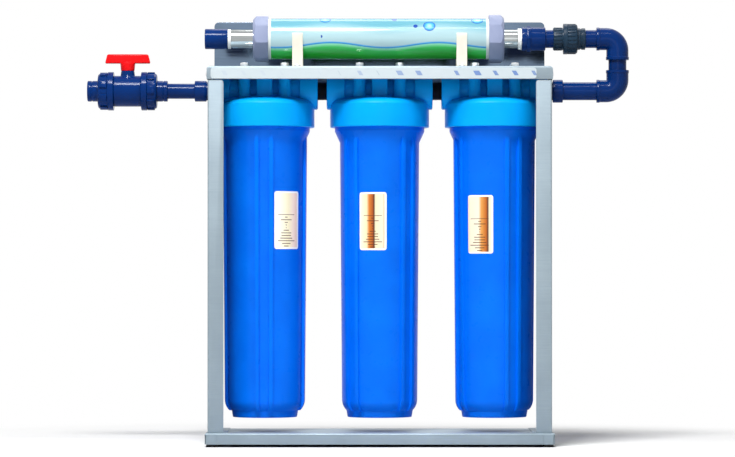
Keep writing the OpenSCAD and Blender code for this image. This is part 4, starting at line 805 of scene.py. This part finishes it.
valveX = middle("valve_body").x
leftNut = gripNut("left_union_nut", valveNut)
rightNut = copyPiece(leftNut, "right_union_nut")
put(leftNut, (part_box("valve_nut_left")[1].x, 0, portZ), "-X", turn=9)
put(rightNut, (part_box("valve_nut_right")[0].x, 0, portZ), "X", turn=-14)
settle(leftNut, "pipeNavy", "valve_nut_left")
settle(rightNut, "pipeNavy", "valve_nut_right")
loopNut = gripNut("loop_union_nut", unionNut)
put(loopNut, (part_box("union_nut")[0].x, 0, tubeZ), "X")
settle(loopNut, "unionSlate", "union_nut")

# Valve: barrel with a flared neck, two socket tails and a rounded T-handle
valve = {"bore": 10, "threadR": 26.5, "r": 27.5, "half": 24.5, "end": 44, "neckR": 11.75, "neckTop": 36,
         "flareR": 20, "flareZ": 14, "flareTop": 28, "stemR": 6.1, "chamberR": 19, "seatX": 17,
         "stemFlangeR": 8.3, "stemFlangeZ": 23.1, "slack": 0.01}
barrel = spinOutline("valve_barrel", [
    (valve["chamberR"], -valve["end"]), (valve["threadR"], -valve["end"]), (valve["threadR"], -valve["half"]),
    (valve["r"], 1 - valve["half"], 1.5), (valve["r"], valve["half"] - 1, 1.5),
    (valve["threadR"], valve["half"]), (valve["threadR"], valve["end"]), (valve["bore"], valve["end"]),
    (valve["bore"], valve["seatX"]), (valve["chamberR"], valve["seatX"])], steps=128)
turnHere(barrel, 0.9, "X")
neck = spinOutline("neck", [
    (0, valve["flareZ"]), (valve["flareR"], valve["flareZ"]), (valve["neckR"] + 1, valve["flareTop"], 9),
    (valve["neckR"], valve["neckTop"], 0.8), (0, valve["neckTop"])], steps=96)
combine(barrel, neck)
chamberR, chamberEnd = valve["chamberR"] + valve["slack"], valve["seatX"] - valve["slack"]
chamber = spinOutline("chamber", [
    (0, 1 - valve["end"]), (chamberR, 1 - valve["end"]), (chamberR, chamberEnd),
    (0, chamberEnd)])      # clears the foot of the neck out of the ball's room
combine(barrel, turnHere(chamber, 1.7, "X"), "DIFFERENCE")
holeLow, holeHigh = 5, valve["neckTop"] + 2      # from within the chamber to past the neck
stemHole = spinOutline("stemHole", [
    (0, holeLow), (valve["stemFlangeR"], holeLow), (valve["stemFlangeR"], valve["stemFlangeZ"]),
    (valve["stemR"], valve["stemFlangeZ"]), (valve["stemR"], holeHigh), (0, holeHigh)], steps=48)
combine(barrel, turnHere(stemHole, 2.3), "DIFFERENCE")
put(barrel, (valveX, 0, portZ))
settle(barrel, "pipeNavy", "valve_body", smooth=28)


def tailOutline(size):      # flanged pipe socket with a turned groove
    first, last = size["groove"]
    bottom = size["r"] - size["grooveDepth"]
    outer, inner = size["grooveRounds"]
    return [(size["bore"], size["from"]), (size["flangeR"], size["from"]), (size["flangeR"], size["flange"]),
            (size["r"], size["flange"]), (size["r"], first, outer), (bottom, first + size["slope"], inner),
            (bottom, last - size["slope"], inner), (size["r"], last, outer),
            (size["r"], size["end"], size["edge"]), (size["socketR"], size["end"], size["edge"] / 2),
            (size["socketR"], size["floor"]), (size["bore"], size["floor"])]


valveTail = {"bore": 10, "r": 18.5, "flangeR": 26.2, "socketR": 13.6, "from": 44.3, "flange": 48.7,
             "floor": 49.5, "groove": (62, 64.8), "grooveDepth": 0.8, "slope": 0.8,
             "grooveRounds": (0.4, 0.3), "end": 71.5, "edge": 1.6}
tails = [turned("tail", tailOutline(valveTail), valveX, portZ, along) for along in ("X", "-X")]
settle(joinPieces(tails, "socket_tails"), "pipeNavy", "valve_tails")

handle = {"len": 81, "h": 16.5, "t": 14, "endT": 9.4, "lean": 4, "hubR": 13.25, "hubH": 13, "edge": 2.6,
          "base": 36.3, "topShare": 0.86, "endsFrom": 0.4, "hubDraft": 1.2, "crownIn": 2, "crownH": 2.5,
          "crownTop": 6}
hubTop = handle["base"] + handle["hubH"]
wing = start("t_handle", bpy.ops.mesh.primitive_cube_add, size=1,
             location=(0, 0, (hubTop + handle["h"] / 2) * mm),
             scale=(handle["len"] * mm, handle["t"] * mm, handle["h"] * mm))
choose(wing, "polygons", lambda f: f.normal.z > 0.9)
bpy.ops.transform.resize(value=(1 - 2 * handle["lean"] / handle["len"], handle["topShare"], 1))
ends = wing.data.vertices
longEdge = handle["len"] / 4 * mm
choose(wing, "edges", lambda e: abs(ends[e.vertices[0]].co.x - ends[e.vertices[1]].co.x) > longEdge)
bpy.ops.mesh.subdivide(number_cuts=3)
choose(wing, "vertices", lambda v: abs(v.co.x) > handle["endsFrom"] * handle["len"] * mm)
bpy.ops.transform.resize(value=(1, handle["endT"] / handle["t"], 1))
soften(wing, handle["edge"], segments=4, angle=40)
hub = spinOutline("hub", [
    (0, handle["base"]), (handle["hubR"] - handle["hubDraft"], handle["base"], 1), (handle["hubR"], hubTop),
    (handle["hubR"] - handle["crownIn"], hubTop + handle["crownH"]), (0, hubTop + handle["crownTop"])],
    steps=72)
combine(wing, hub)
put(wing, (valveX, 0, portZ))
settle(wing, "handleRed", "valve_handle")
print("valve modelled")

# Union body and tail on the upper run
union = {"bore": 13, "socketR": 16.1, "r": 19.75, "threadR": 23, "socketLen": 18, "len": 35, "grips": 20,
         "gripLow": 1.1, "gripHigh": 15.5, "gripRise": 0.8, "edge": 0.3}
unionBody = spinOutline("union_socket", [
    (union["socketR"], 0), (union["r"], 0, 1), (union["r"], union["gripHigh"]),
    (union["r"], union["socketLen"]), (union["threadR"], union["socketLen"]),
    (union["threadR"], union["len"]), (union["bore"], union["len"]), (union["bore"], union["socketLen"]),
    (union["socketR"], union["socketLen"])], steps=120)
raiseFaces(unionBody, evenGrips(union["grips"]), union["gripLow"], union["gripHigh"] - 0.1,
           lambda level: union["gripRise"])
soften(unionBody, union["edge"], angle=40)
put(unionBody, (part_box("union_body")[0].x, 0, tubeZ), "X")
settle(unionBody, "unionSlate", "union_body")
unionTail = {"bore": union["bore"], "socketR": union["socketR"], "r": 19.25, "flangeR": 22.7, "from": 0,
             "flange": 4.4, "floor": 3.7, "groove": (12, 15.5), "grooveDepth": 1.05, "slope": 1,
             "grooveRounds": (0.5, 0.4), "end": 21.7, "edge": 1}
unionEnd = turned("union_end", tailOutline(unionTail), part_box("union_tail")[0].x, tubeZ)
settle(unionEnd, "unionSlate", "union_tail")

# Conditioner: printed shell, octagonal ring nuts, flow pipe, wrapped seals and two end sockets
tubeSizes = {"printed_shell": {"bore": 33.5, "r": 36.5, "edge": 0.5},
             "steel_flow_pipe": {"bore": 13.5, "r": 16.5, "edge": 0.8}}
for name, node, finish in (("printed_shell", "conditioner_shell", "shellPrint"),
                           ("steel_flow_pipe", "flow_pipe", "pipeSteel")):
    settle(pipeOver(name, node, z=tubeZ, steps=128, **tubeSizes[name]), finish, node)
sealLow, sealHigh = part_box("thread_seals")
outletWrap = [(13.5, 0), (17.3, 0, 0.3), (17.5, 1.2, 0.2), (17.1, 2.8, 0.3), (17.3, 4.2, 0.3), (16.7, 5.4),
              (16.5, 5.4), (16.5, 2), (13.5, 2)]
inletWrap = [(13.5, 0), (18.2, 0, 0.6), (18.8, 2.2, 0.4), (18.3, 3.4, 0.3), (19, 5, 0.4), (18.5, 7, 0.8),
             (13.5, 7)]
wraps = [turned("wrap", outletWrap, sealLow.x, tubeZ),
         turned("wrap", inletWrap, sealHigh.x - inletWrap[-1][1] * mm, tubeZ)]
settle(joinPieces(wraps, "wrapped_seals"), "sealWhite", "thread_seals")
outlet = {"len": 41, "r": 18, "socketR": 13.6, "floor": 19, "threadR": 13.4, "threadLen": 17, "bore": 9.5,
          "rounds": (0.8, 1.4, 0.8)}
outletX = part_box("conditioner_outlet")[0].x + outlet["len"] * mm
outletSocket = turned("outlet_socket", threadedSocket(outlet), outletX, tubeZ, "-X")
settle(outletSocket, "pipeNavy", "conditioner_outlet")
upperInlet = {"len": 42, "r": 21, "socketR": 16.1, "floor": 20, "threadR": 13.4, "threadLen": 22, "bore": 9.5,
              "rounds": (0.6, 1.4, 1), "bandR": 23.5, "band": (9, 16), "bandBore": 19, "bandEdge": 0.8}
socket = turnHere(spinOutline("inlet_socket", threadedSocket(upperInlet)), 1.1)
band = prism("band", 8, upperInlet["bandR"], *upperInlet["band"])
soften(band, upperInlet["bandEdge"], segments=3)
boreR, boreEnd = upperInlet["bandBore"], 2 * upperInlet["band"][1]      # runs past the band at both ends
hole = spinOutline("hole", [(0, 0), (boreR, 0), (boreR, boreEnd), (0, boreEnd)])
combine(band, hole, "DIFFERENCE")
combine(socket, band)
put(socket, (inletEnd - upperInlet["len"] * mm, 0, tubeZ), "X")
settle(socket, "pipeNavy", "conditioner_inlet")

# The left nut lies almost flush with the tube
ringNut = {"flats": {"right": 80, "left": 75.6}, "edge": {"right": 0.9, "left": 0.6}, "len": 27, "bore": 36.8,
           "lip": 6.5, "hub": 20.3, "tilt": 12, "chamfer": 7, "footChamfer": 2, "beyond": 1}


def ringNutPiece(side):
    length = ringNut["len"]
    cornerR = ringNut["flats"][side] / 2 / math.cos(math.radians(22.5))
    octagon = prism(side + "_ring_nut", 8, cornerR, 0, length)
    foot, beyond = ringNut["footChamfer"], ringNut["beyond"]
    shape = spinOutline("shape", [
        (0, -beyond), (cornerR - foot, -beyond), (cornerR + beyond, foot),
        (cornerR + beyond, length - ringNut["chamfer"]), (cornerR - ringNut["chamfer"], length + beyond),
        (0, length + beyond)], steps=144)
    combine(octagon, turnHere(shape, 1.3), "INTERSECT")
    drill = spinOutline("drill", [
        (0, -2 * beyond), (ringNut["bore"], -2 * beyond), (ringNut["bore"], length - ringNut["lip"]),
        (ringNut["hub"], length - ringNut["lip"]), (ringNut["hub"], length + 2 * beyond),
        (0, length + 2 * beyond)], steps=120)
    combine(octagon, turnHere(drill, 1.7), "DIFFERENCE")
    soften(octagon, ringNut["edge"][side], segments=3, angle=25)
    return octagon


for side, corner, along, sign in (("left", 1, "-X", -1), ("right", 0, "X", 1)):
    node = "ring_nut_" + side
    piece = put(ringNutPiece(side), (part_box(node)[corner].x, 0, tubeZ), along, turn=sign * ringNut["tilt"])
    settle(piece, "nutGrey", node, smooth=20)
print("conditioner modelled")

# Foil stickers on the sumps: curved sheets with round corners, laid on the tapered walls
stickerSizes = {"lift": 0.12, "thick": 0.2, "corner": 4.2, "steps": 10}
stickers = [(1, (15.2, 58.6), (348, 450)), (2, (-30.4, 10), (346, 448)), (3, (-43.2, -3.5), (340, 443))]
taper = (sump["shoulderR"] - sump["wallR"]) / (sump["shoulderZ"] - sump["bowlH"])
for i, (first, last), heights in stickers:
    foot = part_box(f"sump_{i}")[0].z / mm + sump["bowlH"]
    sheet = startPoint(f"foil_sticker_{i}")
    ends = [Vector((0, -(sump["wallR"] + taper * (z - foot) + stickerSizes["lift"]) * mm, z * mm))
            for z in heights]
    bpy.ops.transform.translate(value=ends[0])
    extrudeBy(*(ends[1] - ends[0]))
    bpy.ops.mesh.select_all(action="SELECT")
    bpy.ops.mesh.spin(steps=stickerSizes["steps"], angle=math.radians(last - first), center=(0, 0, 0),
                      axis=(0, 0, -1))
    objectMode()
    uses = [0] * len(sheet.data.vertices)
    for face in sheet.data.polygons:
        for k in face.vertices:
            uses[k] += 1
    choose(sheet, "vertices", lambda v: uses[v.index] == 1)
    bpy.ops.mesh.bevel(offset=stickerSizes["corner"] * mm, segments=4, affect="VERTICES")
    bpy.ops.mesh.select_all(action="SELECT")
    bpy.ops.mesh.normals_make_consistent(inside=False)
    objectMode()
    put(sheet, (middle(f"sump_{i}").x, 0, 0), turn=first)
    outward = sheet.data.polygons[0].normal.y < 0
    modify(sheet, "SOLIDIFY", thickness=stickerSizes["thick"] * mm, offset=1 if outward else -1)
    faceOutward(sheet)
    settle(sheet, f"foilSticker{i}", body=f"sump_{i}", slot="shell_print")
print("stickers modelled")

# White film along the lip of the top plate
film = {"x": (-259, 313), "z": (647.3, 666.3), "thick": 0.25, "corner": 5, "gap": 0.02}
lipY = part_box("top_plate")[0].y
strip = start("lip_film", bpy.ops.mesh.primitive_plane_add, size=1)
strip.scale = ((film["x"][1] - film["x"][0]) * mm, (film["z"][1] - film["z"][0]) * mm, 1)
strip.rotation_euler = (math.radians(90), 0, 0)
strip.location = (sum(film["x"]) / 2 * mm, lipY - film["thick"] * mm, sum(film["z"]) / 2 * mm)
applyPlace()
chooseAll(strip)
bpy.ops.mesh.bevel(offset=film["corner"] * mm, segments=5, affect="VERTICES")
objectMode()
modify(strip, "SOLIDIFY", thickness=(film["thick"] - film["gap"]) * mm, offset=-1)
faceOutward(strip)
settle(strip, "lipFilm", body="root", slot="strap_white")
print("film modelled")

# Camera at the photograph's place: low, far and square to the front
photo = {"width": 735, "distance": 6.5, "eyeZ": 0.3057, "aimX": 0.0164, "aimZ": 0.3849, "scale": 1.78,
         "sensor": 36}
cameraData = bpy.data.cameras.new("camera")
cameraData.sensor_width = photo["sensor"]
cameraData.lens = photo["sensor"] * photo["distance"] / (photo["width"] * photo["scale"] * mm)
camera = bpy.data.objects.new("camera", cameraData)
bpy.context.scene.collection.objects.link(camera)
camera.location = (photo["aimX"], -photo["distance"], photo["eyeZ"])
aim = Vector((photo["aimX"], 0, photo["aimZ"]))
camera.rotation_euler = (aim - camera.location).to_track_quat("-Z", "Y").to_euler()
bpy.context.scene.camera = camera


def seenDirectly(tree):      # one for rays from the camera, from reflections and from transmission
    path = addNode(tree, "LightPath").outputs
    looked = addNode(tree, "Math", {"operation": "MAXIMUM"},
                     {0: path["Is Camera Ray"], 1: path["Is Glossy Ray"]})
    return addNode(tree, "Math", {"operation": "MAXIMUM"}, {0: looked, 1: path["Is Transmission Ray"]})


# White floor that runs out of sight: it takes the shadow near the stand and turns plain white further off
floorSizes = {"width": 60, "shadowReach": 0.62, "whiteFrom": 1.05}
floor = start("floor", bpy.ops.mesh.primitive_plane_add, size=floorSizes["width"])
floorMaterial, tree, shader = newMaterial("studio_floor_white", Roughness=0.9, Specular_IOR_Level=0.0)
shader.inputs["Base Color"].default_value = linear("#f4f4f4")
where = addNode(tree, "TexCoord").outputs["Object"]
away = addNode(tree, "VectorMath", {"operation": "LENGTH"}, {0: where})
far = addNode(tree, "MapRange", {"From Min": floorSizes["shadowReach"], "From Max": floorSizes["whiteFrom"]},
              {"Value": away.outputs["Value"]})
share = addNode(tree, "Math", {"operation": "MULTIPLY"}, {0: far, 1: seenDirectly(tree)})
white = addNode(tree, "Emission", {"Color": (1, 1, 1, 1), "Strength": 1.0})
mixed = addNode(tree, "MixShader", links={0: share, 1: shader, 2: white})
tree.links.new(mixed.outputs[0], tree.nodes["Material Output"].inputs["Surface"])
floor.data.materials.append(floorMaterial)

studio = {"ambient": 0.1, "seen": 1.0}      # the lamps light the object, and the white is only looked at
world = bpy.data.worlds.new("studio")
world.use_nodes = True
bpy.context.scene.world = world
background = world.node_tree.nodes["Background"]
background.inputs["Color"].default_value = (1, 1, 1, 1)
addNode(world.node_tree, "MapRange", {"To Min": studio["ambient"], "To Max": studio["seen"]},
        {"Value": seenDirectly(world.node_tree)}, background.inputs["Strength"])

# Soft boxes: name, place, width and height in metres, power in watts
softBoxes = [
    ("keyLight", (-0.45, -1.9, 3.1), (1.0, 0.6), 126),
    ("fillLight", (0.5, -3.4, 0.9), (1.2, 1.2), 5),
    ("topStrip", (-0.1, -0.95, 2.6), (2.4, 0.18), 20),
    ("backLight", (0.3, 1.7, 3.0), (1.6, 1.0), 20),
]
lampAim = Vector((0, 0, 0.4))
for name, place, (width, height), power in softBoxes:
    data = bpy.data.lights.new(name, "AREA")
    data.shape = "RECTANGLE"
    data.size, data.size_y = width, height
    data.energy = power
    lamp = bpy.data.objects.new(name, data)
    bpy.context.scene.collection.objects.link(lamp)
    lamp.location = place
    lamp.rotation_euler = (lampAim - Vector(place)).to_track_quat("-Z", "Y").to_euler()
bpy.context.scene.view_settings.view_transform = "Standard"
